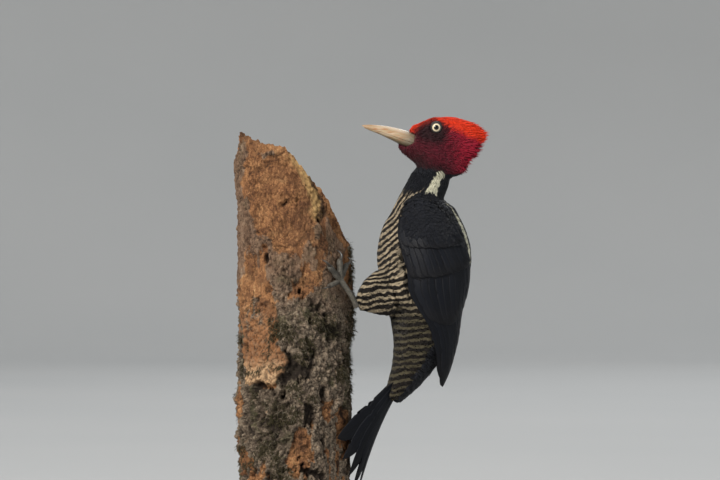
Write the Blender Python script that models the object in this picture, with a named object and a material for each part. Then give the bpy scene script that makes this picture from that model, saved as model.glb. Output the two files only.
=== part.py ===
"""A pale-billed woodpecker (Campephilus guatemalensis, adult male), life size, clinging to a cut
length of dead trunk on a plain display stand.

Frame: metres, +Z up, origin at the centre of the underside of the stand's base. The bird faces -X
and its left side faces -Y. The tables below are in millimetres.
"""

import math

import bmesh
import bpy
import numpy as np
from mathutils import Matrix, Vector

MM = 0.001
GAP = 0.3  # clear distance between pieces that touch, mm

# Stand and perch
BASE_LENGTH, BASE_WIDTH, BASE_HEIGHT = 236.0, 150.0, 16.0
BASE_EDGE = 4.0  # width of the round along its edges
BASE_EDGE_SEGMENTS = 2
ROD_RADIUS = 4.0
ROD_SPREAD = 44.0  # between the two rods
ROD_SIDES = 20
PERCH_FOOT = 45.0  # height of the trunk's sawn lower end
PERCH_X = -50.0  # the trunk's axis stands this far from the base's centre
PERCH_RADIUS = 50.0
PERCH_TOP = 278.0  # height of the broken rim beside the bird
PERCH_TOP_RISE = 94.0  # the break climbs this far to the side away from the bird
PERCH_TOP_CURVE = 2.3  # above 1 the break is bulged, and most of the rim is high
# The rotten hollow in the top: share of the rim's radius, and depth below the broken face
PERCH_HOLLOW = [(0.82, 3.0), (0.62, 12.0), (0.36, 19.0), (0.10, 21.0)]
PERCH_SIDES, PERCH_ROWS = 28, 12

# Trunk and neck: spine point (x, z), half depth in the bird's own plane, half width
BODY = [
    (77.0, 362.0, 14.0, 13.0),
    (73.5, 343.0, 16.0, 14.5),
    (67.8, 332.0, 18.2, 17.3),
    (62.4, 322.5, 19.2, 21.6),
    (63.2, 314.0, 25.2, 26.2),
    (64.0, 305.0, 31.2, 29.9),
    (64.3, 289.0, 38.0, 34.0),
    (65.0, 270.0, 41.2, 36.0),
    (65.2, 249.0, 38.6, 35.5),
    (65.5, 227.0, 33.0, 32.5),
    (64.0, 206.0, 27.0, 28.0),
    (59.5, 187.0, 21.5, 23.0),
    (52.5, 170.0, 16.0, 18.5),
    (44.0, 155.5, 11.0, 15.0),
    (36.5, 144.5, 7.0, 12.0),
]
BODY_SIDES = 24
BODY_LENGTH = sum(math.dist(a[:2], b[:2]) for a, b in zip(BODY, BODY[1:]))
NECK_ENDS = 0.14  # share of the body's length where the neck meets the trunk
NECK_ROWS, TRUNK_ROWS = 5, 18

# Head and crest: x, lowest z, highest z, half width
HEAD = [
    (42.5, 366.5, 369.0, 2.5),
    (46.0, 362.5, 371.0, 5.0),
    (50.0, 359.0, 377.5, 7.0),
    (54.0, 355.0, 383.8, 8.8),
    (60.0, 349.5, 387.2, 12.0),
    (67.5, 345.5, 389.8, 15.0),
    (76.0, 343.0, 392.0, 16.4),
    (84.5, 341.0, 392.8, 15.8),
    (92.5, 340.5, 392.0, 13.6),
    (99.5, 343.5, 389.8, 10.6),
    (106.0, 351.4, 388.0, 7.8),
    (112.5, 360.2, 385.6, 5.2),
    (118.5, 368.7, 382.3, 3.2),
    (122.5, 374.6, 379.4, 1.6),
]
HEAD_SIDES = 24
CREST_STARTS = 0.61  # share of the head's length where the crest begins
HEAD_ROWS, CREST_ROWS = 14, 8

# Bill: x, lowest z, highest z, half width
BILL_UPPER = [
    (10.5, 384.7, 385.6, 0.9),
    (16.0, 382.9, 385.8, 1.9),
    (26.0, 380.0, 385.2, 3.1),
    (38.0, 375.9, 383.3, 4.6),
    (48.0, 372.3, 380.8, 6.2),
    (56.0, 370.0, 377.9, 7.2),
    (62.0, 369.0, 375.6, 6.6),
]
BILL_LOWER = [
    (12.2, 383.2, 384.0, 0.8),
    (18.0, 380.6, 381.9, 1.7),
    (27.0, 376.9, 379.3, 2.9),
    (38.0, 371.6, 375.5, 4.4),
    (48.0, 366.8, 371.9, 6.0),
    (56.0, 364.8, 369.6, 7.0),
    (62.0, 365.4, 368.6, 6.4),
]
BILL_SIDES, BILL_ROWS = 12, 11
BILL_SOCKET_SIDES = 16
EYE_RADIUS = 5.5
EYE_AT = (75.7, 9.1, 383.0)

# Folded wing: height, front and back edge as degrees round the guide, thickness. 0 is the spine.
WING = [
    (326.5, 96.0, 78.0, 1.6),
    (321.0, 128.0, 64.0, 3.4),
    (311.0, 132.0, 52.0, 4.6),
    (298.0, 129.0, 40.0, 5.0),
    (284.0, 125.0, 32.0, 5.0),
    (270.0, 120.0, 22.0, 4.8),
    (255.0, 117.0, 11.0, 4.6),
    (240.0, 118.0, 4.0, 4.4),
    (228.0, 110.0, 1.5, 4.0),
    (214.0, 96.0, 1.5, 3.6),
    (198.0, 86.0, 2.0, 3.2),
    (182.0, 78.0, 5.0, 2.8),
    (167.0, 70.0, 10.0, 2.4),
    (156.5, 52.0, 20.0, 1.6),
]
# Below the flank the folded wings leave the body and hang straight:
# height, centre x, half depth, half width
WING_GUIDE_LOW = [
    (214.0, 66.0, 29.5, 30.0),
    (198.0, 68.5, 25.0, 25.5),
    (182.0, 70.0, 20.0, 20.5),
    (167.0, 71.0, 14.8, 15.0),
    (156.5, 72.0, 9.6, 10.0),
]
WING_CLEAR = 0.9  # between wing and body
WING_ROWS, WING_COLUMNS = 14, 8

# Tail of ten stiff feathers, pressed on the trunk
TAIL_ROOT = (55.0, 170.0)
TAIL_ROOT_HALF_WIDTH = 13.0
TAIL_BEND = (24.0, 128.0)  # the control point of its curve towards the trunk
TAIL_BEND_HALF_WIDTH = 28.0
TAIL_DROOP = 14.0  # its sides lie this much nearer to the trunk than its middle
TAIL_TIP = 58.0  # height of the longest feathers' tips
TAIL_STEP_UP = 64.0  # how much higher the outermost tips end
TAIL_HALF_ANGLE = 42.0  # the tips' spread round the trunk, degrees
TAIL_THICK_ROOT, TAIL_THICK_TIP = 6.0, 1.3
TAIL_CLEAR = 1.2  # between its tips and the trunk, and this much more in the middle:
TAIL_ARCH = 2.2
TAIL_FEATHERS = 10
TAIL_ROWS = 8

# Legs: thigh stations (x, y, z, half height, half width), then the tarsus and toes
THIGH = [
    (50.0, 15.0, 243.0, 17.0, 10.0),
    (38.0, 18.5, 240.5, 20.5, 12.5),
    (26.0, 21.5, 237.0, 19.5, 12.0),
    (16.0, 24.0, 232.5, 13.5, 9.5),
    (9.5, 25.5, 229.0, 7.5, 6.0),
    (6.5, 26.2, 227.0, 4.2, 3.8),
]
HEEL = (6.0, 26.4, 226.5)
TARSUS_RADII = (3.0, 2.7, 2.7, 2.7, 2.9, 3.1)  # from the heel to the toes
TARSUS_SIDES = 8
SOLE_ABOVE = 3.6
SOLE = (38.0, 249.0)  # where the toes spread: degrees round the trunk, and height
# Toe ends: degrees round the trunk, height, radius at the root
TOES = {
    "inner": (20.0, 270.0, 2.5),
    "middle": (38.0, 276.0, 2.8),
    "outer": (61.0, 268.0, 2.7),
    "hind": (60.0, 242.0, 2.3),
}
CLAW_SHARE = 0.34  # the last part of a toe is its claw
CLAW_ARCH = 2.2
TOE_SIDES, TOE_ROWS = 7, 8
THIGH_SIDES, THIGH_ROWS = 16, 9

COLOURS = {
    "red": ((0.55, 0.02, 0.015, 1), 0.7),
    "black": ((0.012, 0.012, 0.016, 1), 0.5),
    "barred": ((0.22, 0.17, 0.10, 1), 0.75),
    "horn": ((0.72, 0.62, 0.45, 1), 0.35),
    "iris": ((0.85, 0.75, 0.35, 1), 0.08),
    "leg": ((0.16, 0.15, 0.13, 1), 0.55),
    "wood": ((0.20, 0.13, 0.08, 1), 0.9),
    "stand_wood": ((0.10, 0.055, 0.03, 1), 0.4),
    "steel": ((0.55, 0.55, 0.56, 1), 0.3),
}


def clear_scene():
    for thing in list(bpy.data.objects):
        bpy.data.objects.remove(thing)


def material(name):
    found = bpy.data.materials.get(name)
    if found:
        return found
    colour, roughness = COLOURS[name]
    made = bpy.data.materials.new(name)
    made.use_nodes = True
    shader = made.node_tree.nodes["Principled BSDF"]
    shader.inputs["Base Color"].default_value = colour
    shader.inputs["Roughness"].default_value = roughness
    shader.inputs["Metallic"].default_value = 1.0 if name == "steel" else 0.0
    return made


def smooth(rows, count, start=0.0, end=1.0):
    """The rows of a table as a smooth curve through them, read at count places from start to end."""
    rows = np.array(rows, float)
    steps = np.linalg.norm(np.diff(rows[:, :2], axis=0), axis=1)
    along = np.concatenate([[0.0], np.cumsum(steps)])
    along /= along[-1]
    slopes = np.gradient(rows, along, axis=0)
    places = np.linspace(start, end, count)
    at = np.clip(np.searchsorted(along, places, side="right") - 1, 0, len(rows) - 2)
    width = along[at + 1] - along[at]
    t = ((places - along[at]) / width)[:, None]
    width = width[:, None]
    return (
        (2 * t**3 - 3 * t**2 + 1) * rows[at]
        + (t**3 - 2 * t**2 + t) * width * slopes[at]
        + (3 * t**2 - 2 * t**3) * rows[at + 1]
        + (t**3 - t**2) * width * slopes[at + 1]
    )


def build(name, rings, colour, helper=False):
    """One closed object from rings of points in mm, each ring joined to the next and the ends filled."""
    bm = bmesh.new()
    loops = [[bm.verts.new(Vector(p) * MM) for p in ring] for ring in rings]
    for low, high in zip(loops, loops[1:]):
        sides = len(low)
        for i in range(sides):
            j = (i + 1) % sides
            bm.faces.new((low[i], low[j], high[j], high[i]))
    bm.faces.new(loops[0][::-1])
    bm.faces.new(loops[-1])
    bmesh.ops.recalc_face_normals(bm, faces=bm.faces)
    bmesh.ops.triangulate(bm, faces=bm.faces)
    mesh = bpy.data.meshes.new(name)
    bm.to_mesh(mesh)
    bm.free()
    mesh.shade_smooth()
    thing = bpy.data.objects.new(name, mesh)
    bpy.context.scene.collection.objects.link(thing)
    if helper:
        thing.hide_render = True
        thing.display_type = "WIRE"
    else:
        mesh.materials.append(material(colour))
    return thing


def boolean(thing, other, operation="DIFFERENCE"):
    cut = thing.modifiers.new(operation.lower(), "BOOLEAN")
    cut.operation = operation
    cut.solver = "EXACT"
    cut.object = other


# ---- trunk and neck


def body_ring(station, tangent, grow=0.0):
    x, z, depth, width = station
    across = Vector((-tangent[1], 0.0, tangent[0])).normalized()
    if across.x < 0:
        across = -across
    centre = Vector((x, 0.0, z))
    to_back = across * (depth + grow)
    to_side = Vector((0.0, width + grow, 0.0))
    turns = [2 * math.pi * i / BODY_SIDES for i in range(BODY_SIDES)]
    return [centre + to_back * math.cos(a) + to_side * math.sin(a) for a in turns]


def body_rings(count, start, end, grow=0.0):
    stations = smooth(BODY, count, start, end)
    before = smooth(BODY, count, max(start - 0.01, 0.0), end - 0.01)
    after = smooth(BODY, count, start + 0.01, min(end + 0.01, 1.0))
    tangents = (after - before)[:, :2]
    return [body_ring(s, t, grow) for s, t in zip(stations, tangents)]


def make_body(head_cutter):
    neck = build("neck", body_rings(NECK_ROWS, 0.0, NECK_ENDS), "black")
    boolean(neck, head_cutter)
    build("trunk", body_rings(TRUNK_ROWS, NECK_ENDS + GAP / BODY_LENGTH, 1.0), "barred")


# ---- head, crest, bill and eyes


def head_ring(station, grow=0.0):
    x, low, high, width = station
    middle, half = (low + high) / 2, (high - low) / 2 + grow
    ring = []
    for i in range(HEAD_SIDES):
        a = 2 * math.pi * i / HEAD_SIDES
        side = math.sin(a)
        squarish = math.copysign(abs(side) ** 0.72, side)
        narrowing = 1.0 - 0.09 * math.cos(a)
        ring.append((x, (width + grow) * squarish * narrowing, middle + half * math.cos(a)))
    return ring


def bill_ring(station, upward):
    """A half-round section with its flat side on the gape line. upward is 1 for the upper half."""
    x, low, high, width = station
    flat, ridge = (low, high) if upward > 0 else (high, low)
    ring = []
    for i in range(BILL_SIDES):
        a = math.pi * i / (BILL_SIDES - 1)
        ring.append((x, width * math.cos(a), flat + (ridge - flat) * math.sin(a) ** 0.85))
    return ring


def make_head():
    share = GAP / (HEAD[-1][0] - HEAD[0][0])
    head = build("head", [head_ring(s) for s in smooth(HEAD, HEAD_ROWS, 0.0, CREST_STARTS)], "red")
    build("crest", [head_ring(s) for s in smooth(HEAD, CREST_ROWS, CREST_STARTS + share, 1.0)], "red")
    all_rows = HEAD_ROWS + CREST_ROWS
    head_cutter = build("head_cutter", [head_ring(s, GAP) for s in smooth(HEAD, all_rows)], "", helper=True)
    upper, lower = smooth(BILL_UPPER, BILL_ROWS), smooth(BILL_LOWER, BILL_ROWS)
    build("bill_upper", [bill_ring(s, 1) for s in upper], "horn")
    build("bill_lower", [bill_ring(s, -1) for s in lower], "horn")
    # One cutter clears both halves of the bill, and reaches a little past their roots.
    socket = [(x, low, high, width) for (x, _, high, width), (_, low, _, _) in zip(upper, lower)]
    socket.append((BILL_UPPER[-1][0] + GAP, *socket[-1][1:]))
    mouth = build("bill_cutter", [bill_socket_ring(s) for s in socket], "", helper=True)
    boolean(head, mouth)
    x, y, z = EYE_AT
    for side, sign in (("left", -1), ("right", 1)):
        centre = (x, sign * y, z)
        ball(f"eye_{side}", centre, EYE_RADIUS, "iris")
        boolean(head, ball(f"socket_{side}", centre, EYE_RADIUS + GAP, "", helper=True))
    return head_cutter


def bill_socket_ring(station):
    """A rounded box round both halves of the bill, a little larger than they are."""
    x, low, high, width = station
    middle, half = (low + high) / 2, (high - low) / 2 + 2.4 * GAP
    ring = []
    for i in range(BILL_SOCKET_SIDES):
        a = 2 * math.pi * (i + 0.5) / BILL_SOCKET_SIDES
        side = math.copysign(abs(math.cos(a)) ** 0.7, math.cos(a))
        up = math.copysign(abs(math.sin(a)) ** 0.8, math.sin(a))
        ring.append((x, (width + 2.4 * GAP) * side, middle + half * up))
    return ring


def ball(name, centre, radius, colour, helper=False):
    bm = bmesh.new()
    bmesh.ops.create_uvsphere(bm, u_segments=14, v_segments=9, radius=radius * MM)
    # The poles turn sideways, so that the pupil sits on one.
    bmesh.ops.rotate(bm, verts=bm.verts, cent=(0, 0, 0), matrix=Matrix.Rotation(math.pi / 2, 3, "X"))
    bmesh.ops.translate(bm, verts=bm.verts, vec=Vector(centre) * MM)
    bmesh.ops.triangulate(bm, faces=bm.faces)
    mesh = bpy.data.meshes.new(name)
    bm.to_mesh(mesh)
    bm.free()
    mesh.shade_smooth()
    thing = bpy.data.objects.new(name, mesh)
    bpy.context.scene.collection.objects.link(thing)
    if helper:
        thing.hide_render = True
        thing.display_type = "WIRE"
    else:
        mesh.materials.append(material(colour))
    return thing


# ---- wings


def guide_at(height):
    """Centre x, half depth and half width of the shape that the folded wings lie on."""
    upper = [(row[1], row[0], row[2], row[3]) for row in BODY[1:10]]
    table = np.array(upper + [row for row in WING_GUIDE_LOW], float)
    order = np.argsort(table[:, 0])
    heights = table[order, 0]
    return [float(np.interp(height, heights, table[order, k])) for k in (1, 2, 3)]


def wing_rings(sign):
    """Each ring goes along the inner face from the front edge to the back edge, and returns outside."""
    rings = []
    for height, front, back, thick in smooth(WING, WING_ROWS):
        centre, depth, width = guide_at(height)
        inner, outer = [], []
        for i in range(WING_COLUMNS):
            t = i / (WING_COLUMNS - 1)
            a = math.radians(front + (back - front) * t)
            # Thickest behind the middle, thinner at both edges.
            bulge = thick * (0.32 + 0.68 * math.sin(math.pi * (0.92 - 0.80 * t)))
            for face, lift in ((inner, 0.0), (outer, bulge)):
                out = WING_CLEAR + lift
                y = (width + out) * math.sin(a)
                face.append((centre + (depth + out) * math.cos(a), sign * y, height))
        rings.append(inner + outer[::-1])
    return rings


def make_wings(trunk_cutter):
    for side, sign in (("left", -1), ("right", 1)):
        boolean(build(f"wing_{side}", wing_rings(sign), "black"), trunk_cutter)


# ---- tail


def perch_radius(angle, height):
    """The dead trunk's radius at an angle in radians and a height in mm: low ridges and a slight lean."""
    ridges = 1.5 * math.sin(3 * angle + 0.9) + 0.9 * math.sin(7 * angle + height / 31)
    knots = 1.1 * math.sin(height / 17 + 2 * angle)
    return PERCH_RADIUS + ridges + knots


def on_perch(angle, height, above):
    """A point this far above the trunk's surface."""
    radius = perch_radius(angle, height) + above
    return Vector((PERCH_X + radius * math.cos(angle), radius * math.sin(angle), height))


def tail_point(u, v):
    """The tail's outer face. u runs from -1 to 1 across it, and v from 0 at the root to 1 at the tips."""
    angle = math.radians(TAIL_HALF_ANGLE) * u
    tip_height = TAIL_TIP + TAIL_STEP_UP * abs(u) ** 1.7
    tip = on_perch(angle, tip_height, TAIL_CLEAR + TAIL_THICK_TIP + TAIL_ARCH * (1 - abs(u)))
    droop = TAIL_DROOP * u * u
    root = Vector((TAIL_ROOT[0] - 0.7 * droop, TAIL_ROOT_HALF_WIDTH * u, TAIL_ROOT[1]))
    bend = Vector((TAIL_BEND[0] - droop, TAIL_BEND_HALF_WIDTH * u, TAIL_BEND[1] + 0.6 * droop))
    return root * (1 - v) ** 2 + bend * 2 * v * (1 - v) + tip * v * v


def tail_end(u):
    """Feather tips are pointed, so the tail ends sooner between two of them."""
    within = (u * TAIL_FEATHERS / 2) % 1.0
    return 1.0 - 0.075 * (2 * abs(within - 0.5)) ** 1.5


def make_tail(trunk_cutter):
    """Rings run round the tail's section: across the outer face, then back along the inner one."""
    columns = 2 * TAIL_FEATHERS + 1
    rings = []
    for row in range(TAIL_ROWS):
        share = row / (TAIL_ROWS - 1)
        outer, inner = [], []
        for i in range(columns):
            u = 2 * i / (columns - 1) - 1
            v = share * tail_end(u)
            here = tail_point(u, v)
            along = tail_point(u, v + 0.02) - tail_point(u, v - 0.02)
            aside = tail_point(u + 0.02, v) - tail_point(u - 0.02, v)
            inward = along.cross(aside).normalized()
            if inward.x > 0:
                inward = -inward
            thick = TAIL_THICK_TIP + (TAIL_THICK_ROOT - TAIL_THICK_TIP) * (1 - v) ** 1.3 * (1 - 0.6 * u * u)
            outer.append(here)
            inner.append(here + inward * thick)
        rings.append(outer + inner[::-1])
    tail = build("tail", rings, "black")
    boolean(tail, trunk_cutter)


# ---- legs


def tube(name, path, radii, sides, colour, helper=False):
    """A closed tapering tube along a path of points in mm."""
    rings = []
    for i, here in enumerate(path):
        along = (path[min(i + 1, len(path) - 1)] - path[max(i - 1, 0)]).normalized()
        first = along.cross(Vector((0.31, 0.22, 0.92))).normalized()
        second = along.cross(first)
        turns = [2 * math.pi * k / sides for k in range(sides)]
        rings.append([here + (first * math.cos(a) + second * math.sin(a)) * radii[i] for a in turns])
    return build(name, rings, colour, helper)


def toe_path(sign, end_angle, end_height, radius):
    """From the sole along the bark, arched over the claw and down to its point."""
    path, radii = [], []
    for i in range(TOE_ROWS):
        t = i / (TOE_ROWS - 1)
        angle = math.radians(SOLE[0] + (end_angle - SOLE[0]) * t) * sign
        height = SOLE[1] + (end_height - SOLE[1]) * t
        claw = max(0.0, (t - 1 + CLAW_SHARE) / CLAW_SHARE)
        thick = radius * (1 - 0.12 * t) * (1 - 0.72 * claw)
        above = 2 * GAP + thick + CLAW_ARCH * math.sin(math.pi * claw)
        path.append(on_perch(angle, height, above))
        radii.append(thick)
    return path, radii


def thigh_rings(sign):
    rings = []
    turns = [2 * math.pi * i / THIGH_SIDES for i in range(THIGH_SIDES)]
    stations = smooth(THIGH, THIGH_ROWS)
    for i, (x, y, z, tall, wide) in enumerate(stations):
        low, high = stations[max(i - 1, 0)], stations[min(i + 1, len(stations) - 1)]
        along = Vector(high[:3] - low[:3]).normalized()
        side = along.cross(Vector((0, 0, 1))).normalized()
        up = side.cross(along)
        centre = Vector((x, y, z))
        ring = [centre + up * tall * math.cos(a) + side * wide * math.sin(a) for a in turns]
        rings.append([(p.x, sign * p.y, p.z) for p in ring])
    return rings


def make_legs(trunk_cutter):
    for side, sign in (("left", -1), ("right", 1)):
        thigh = build(f"thigh_{side}", thigh_rings(sign), "barred")
        boolean(thigh, trunk_cutter)
        heel = Vector((HEEL[0], sign * HEEL[1], HEEL[2]))
        sole = on_perch(math.radians(SOLE[0]) * sign, SOLE[1], SOLE_ABOVE)
        bow = Vector((1.2, sign * 0.8, 0.0))
        shares = np.linspace(0, 1, len(TARSUS_RADII))
        path = [heel.lerp(sole, t) + bow * math.sin(math.pi * t) for t in shares]
        foot = tube(f"foot_{side}", path, TARSUS_RADII, TARSUS_SIDES, "leg")
        for toe, (angle, height, radius) in TOES.items():
            toe_line, toe_radii = toe_path(sign, angle, height, radius)
            boolean(foot, tube(f"{toe}_toe_{side}", toe_line, toe_radii, TOE_SIDES, "", helper=True), "UNION")
        boolean(foot, build(f"thigh_cutter_{side}", grown_thigh_end(sign), "", helper=True))


def grown_thigh_end(sign):
    """The lower end of the thigh, GAP larger, to part the tarsus from it."""
    rings = thigh_rings(sign)[-3:]
    grown = []
    for ring in rings:
        middle = sum((Vector(p) for p in ring), Vector()) / len(ring)
        grown.append([Vector(p) + (Vector(p) - middle).normalized() * GAP for p in ring])
    ahead = (grown[-1][0] - grown[-2][0]).normalized() * GAP
    grown[-1] = [p + ahead for p in grown[-1]]
    return grown


# ---- perch and stand


def perch_top(angle):
    """Height of the broken rim: lowest beside the bird, with splinters all round."""
    splinters = 4.0 * abs(math.sin(1.5 * angle + 0.4)) ** 3 + 4.0 * abs(math.sin(3.5 * angle + 1.3)) ** 4
    nearness = (1 + math.cos(angle)) / 2
    return PERCH_TOP + PERCH_TOP_RISE * (1 - nearness**PERCH_TOP_CURVE) + splinters


def make_perch():
    angles = [2 * math.pi * i / PERCH_SIDES for i in range(PERCH_SIDES)]
    rings = []
    for row in range(PERCH_ROWS):
        t = row / (PERCH_ROWS - 1)
        heights = [PERCH_FOOT + (perch_top(a) - PERCH_FOOT) * t for a in angles]
        rings.append([on_perch(a, z, 0.0) for a, z in zip(angles, heights)])
    for share, drop in PERCH_HOLLOW:
        ring = []
        for a in angles:
            rim = on_perch(a, perch_top(a), 0.0)
            middle = PERCH_TOP + 0.7 * PERCH_TOP_RISE
            level = middle + (rim.z - middle) * share
            ring.append((PERCH_X + (rim.x - PERCH_X) * share, rim.y * share, level - drop))
        rings.append(ring)
    build("perch_trunk", rings, "wood")


def make_stand():
    bm = bmesh.new()
    bmesh.ops.create_cube(bm, size=1.0)
    bmesh.ops.scale(bm, verts=bm.verts, vec=Vector((BASE_LENGTH, BASE_WIDTH, BASE_HEIGHT)) * MM)
    bmesh.ops.translate(bm, verts=bm.verts, vec=(0, 0, BASE_HEIGHT / 2 * MM))
    mesh = bpy.data.meshes.new("stand_base")
    bm.to_mesh(mesh)
    bm.free()
    mesh.materials.append(material("stand_wood"))
    base = bpy.data.objects.new("stand_base", mesh)
    bpy.context.scene.collection.objects.link(base)
    edge = base.modifiers.new("edge", "BEVEL")
    edge.width = BASE_EDGE * MM
    edge.segments = BASE_EDGE_SEGMENTS
    for number, y in ((1, -ROD_SPREAD / 2), (2, ROD_SPREAD / 2)):
        bottom, top = BASE_HEIGHT + GAP, PERCH_FOOT - GAP
        ends = [Vector((PERCH_X, y, z)) for z in (bottom, top)]
        tube(f"stand_rod_{number}", ends, [ROD_RADIUS] * 2, ROD_SIDES, "steel")


def main():
    clear_scene()
    head_cutter = make_head()
    make_body(head_cutter)
    # Half as large again as the gap, because the cutter's rings lie at other places than the trunk's.
    trunk_cutter = build("trunk_cutter", body_rings(24, 0.0, 1.0, 1.5 * GAP), "", helper=True)
    make_wings(trunk_cutter)
    make_tail(trunk_cutter)
    make_legs(trunk_cutter)
    make_perch()
    make_stand()


main()
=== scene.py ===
"""A pale-billed woodpecker (Campephilus guatemalensis, adult male), life size, as a museum shows it:
clinging to a cut length of dead trunk, which two rods hold over a dark wooden base.

The file follows the model as it is put together: stand, perch, skin, coat of feathers, wings, tail,
feet, bill and eyes, and last the studio. The bird faces -X and its left side faces -Y. Tables are in
millimetres, and meshes in metres.
"""

import math

import bmesh
import bpy
import numpy as np
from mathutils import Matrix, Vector, noise


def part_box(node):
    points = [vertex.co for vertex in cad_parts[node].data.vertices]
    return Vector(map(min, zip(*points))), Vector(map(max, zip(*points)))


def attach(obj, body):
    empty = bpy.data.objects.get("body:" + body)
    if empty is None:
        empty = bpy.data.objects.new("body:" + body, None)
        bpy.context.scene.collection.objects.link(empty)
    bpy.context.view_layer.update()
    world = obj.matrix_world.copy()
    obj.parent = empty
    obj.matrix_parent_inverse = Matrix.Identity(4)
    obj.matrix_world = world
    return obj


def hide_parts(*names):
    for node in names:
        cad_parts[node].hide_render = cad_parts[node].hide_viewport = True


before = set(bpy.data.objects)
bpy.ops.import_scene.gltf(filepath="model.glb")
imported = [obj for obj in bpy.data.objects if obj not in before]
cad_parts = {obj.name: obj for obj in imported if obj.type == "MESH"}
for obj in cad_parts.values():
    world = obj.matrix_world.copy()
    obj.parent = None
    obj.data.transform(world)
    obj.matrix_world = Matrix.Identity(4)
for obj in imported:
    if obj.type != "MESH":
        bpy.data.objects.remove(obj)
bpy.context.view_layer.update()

# ---- Stand base
# A flat block of dark varnished hardwood with a moulded edge. It is loft-made: one rounded rectangle
# is repeated up a moulding profile, and the grain runs along X.

MM = 0.001
low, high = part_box("stand_base")
BASE_LENGTH, BASE_WIDTH, BASE_HEIGHT = ((high - low) / MM)[:]
BASE_CORNER = 7.0  # radius of its corners in plan
BASE_CORNER_STEPS = 10
# Moulding: how far inside the outline, and how high
BASE_PROFILE = [(1.6, 0.0), (0.5, 0.5), (0.0, 1.6), (0.0, 6.2), (0.5, 7.2), (1.7, 7.7), (1.9, 8.3)]
BASE_COVE = (6.5, 6.7)  # width and height of the hollow above the lower edge
BASE_TOP_EDGE = 1.0
COVE_STEPS = 8


def in_scene(name, data):
    """A new object in the scene, at the origin."""
    thing = bpy.data.objects.new(name, data)
    bpy.context.scene.collection.objects.link(thing)
    return thing


def link(name, mesh, finish, smooth_faces=True):
    """The mesh as an object in the scene, with its material."""
    thing = in_scene(name, mesh)
    mesh.materials.clear()
    mesh.materials.append(finish)
    mesh.polygons.foreach_set("use_smooth", [smooth_faces] * len(mesh.polygons))
    return thing


def new_mesh(name, points, faces):
    """A mesh from points in mm, with its faces turned outwards."""
    mesh = bpy.data.meshes.new(name)
    mesh.from_pydata((np.asarray(points, float) * MM).tolist(), [], faces)
    outward(mesh)
    return mesh


def loft(rings, closed_ends=True):
    """A mesh from rings of points in mm, all of one length, each joined to the next."""
    count = len(rings[0])
    faces = []
    for row in range(len(rings) - 1):
        for i in range(count):
            a, b = row * count + i, row * count + (i + 1) % count
            faces.append((a, b, b + count, a + count))
    if closed_ends:
        faces.append(tuple(range(count))[::-1])
        faces.append(tuple(range((len(rings) - 1) * count, len(rings) * count)))
    return new_mesh("loft", [point for ring in rings for point in ring], faces)


def outward(mesh):
    """Turns every face of a closed mesh outwards."""
    bm = bmesh.new()
    bm.from_mesh(mesh)
    bmesh.ops.recalc_face_normals(bm, faces=bm.faces)
    bm.to_mesh(mesh)
    bm.free()
    mesh.update()


def operator(operation, reflected=False):
    """An operator of Value, or its reflected form, which adds a Math node."""
    def apply(value, other):
        first, second = (other, value) if reflected else (value, other)
        return add(value.tree, "ShaderNodeMath", {"operation": operation}, {0: first, 1: second})
    return apply


class Value:
    """A socket of a node tree. Sums and products of values add their Math nodes."""

    __add__ = __radd__ = operator("ADD")
    __mul__ = __rmul__ = operator("MULTIPLY")
    __sub__ = operator("SUBTRACT")
    __rsub__ = operator("SUBTRACT", reflected=True)
    __rtruediv__ = operator("DIVIDE", reflected=True)

    def __init__(self, tree, socket):
        self.tree, self.socket = tree, socket

    def math(self, operation, *others):
        inputs = dict(enumerate((self, *others)))
        return add(self.tree, "ShaderNodeMath", {"operation": operation}, inputs)

    def clamp(self, low, high):
        """0 below low, 1 above high and a smooth step between them."""
        settings = {"interpolation_type": "SMOOTHSTEP"}
        return add(self.tree, "ShaderNodeMapRange", settings, {0: self, 1: low, 2: high})


def add(tree, kind, settings=(), inputs=(), output=0):
    """One node: its type, its settings, and the values or links of its sockets by name or number."""
    node = tree.nodes.new(kind)
    for name, value in dict(settings).items():
        if name == "stops":
            while len(node.color_ramp.elements) < len(value):
                node.color_ramp.elements.new(1.0)
            for element, (place, colour) in zip(node.color_ramp.elements, value):
                element.position = place
                element.color = (*colour, 1.0)
        else:
            setattr(node, name, value)
    for name, value in dict(inputs).items():
        if isinstance(value, Value):
            tree.links.new(value.socket, node.inputs[name])
        elif value is not None:
            socket = node.inputs[name]
            if socket.type == "RGBA" and len(value) == 3:
                value = (*value, 1.0)
            socket.default_value = value
    return Value(tree, node.outputs[output])


def split(value):
    """All outputs of the node that a value comes from."""
    return [Value(value.tree, socket) for socket in value.socket.node.outputs]


def xyz(vector):
    """The three numbers of a vector."""
    return split(add(vector.tree, "ShaderNodeSeparateXYZ", {}, {0: vector}))


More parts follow.
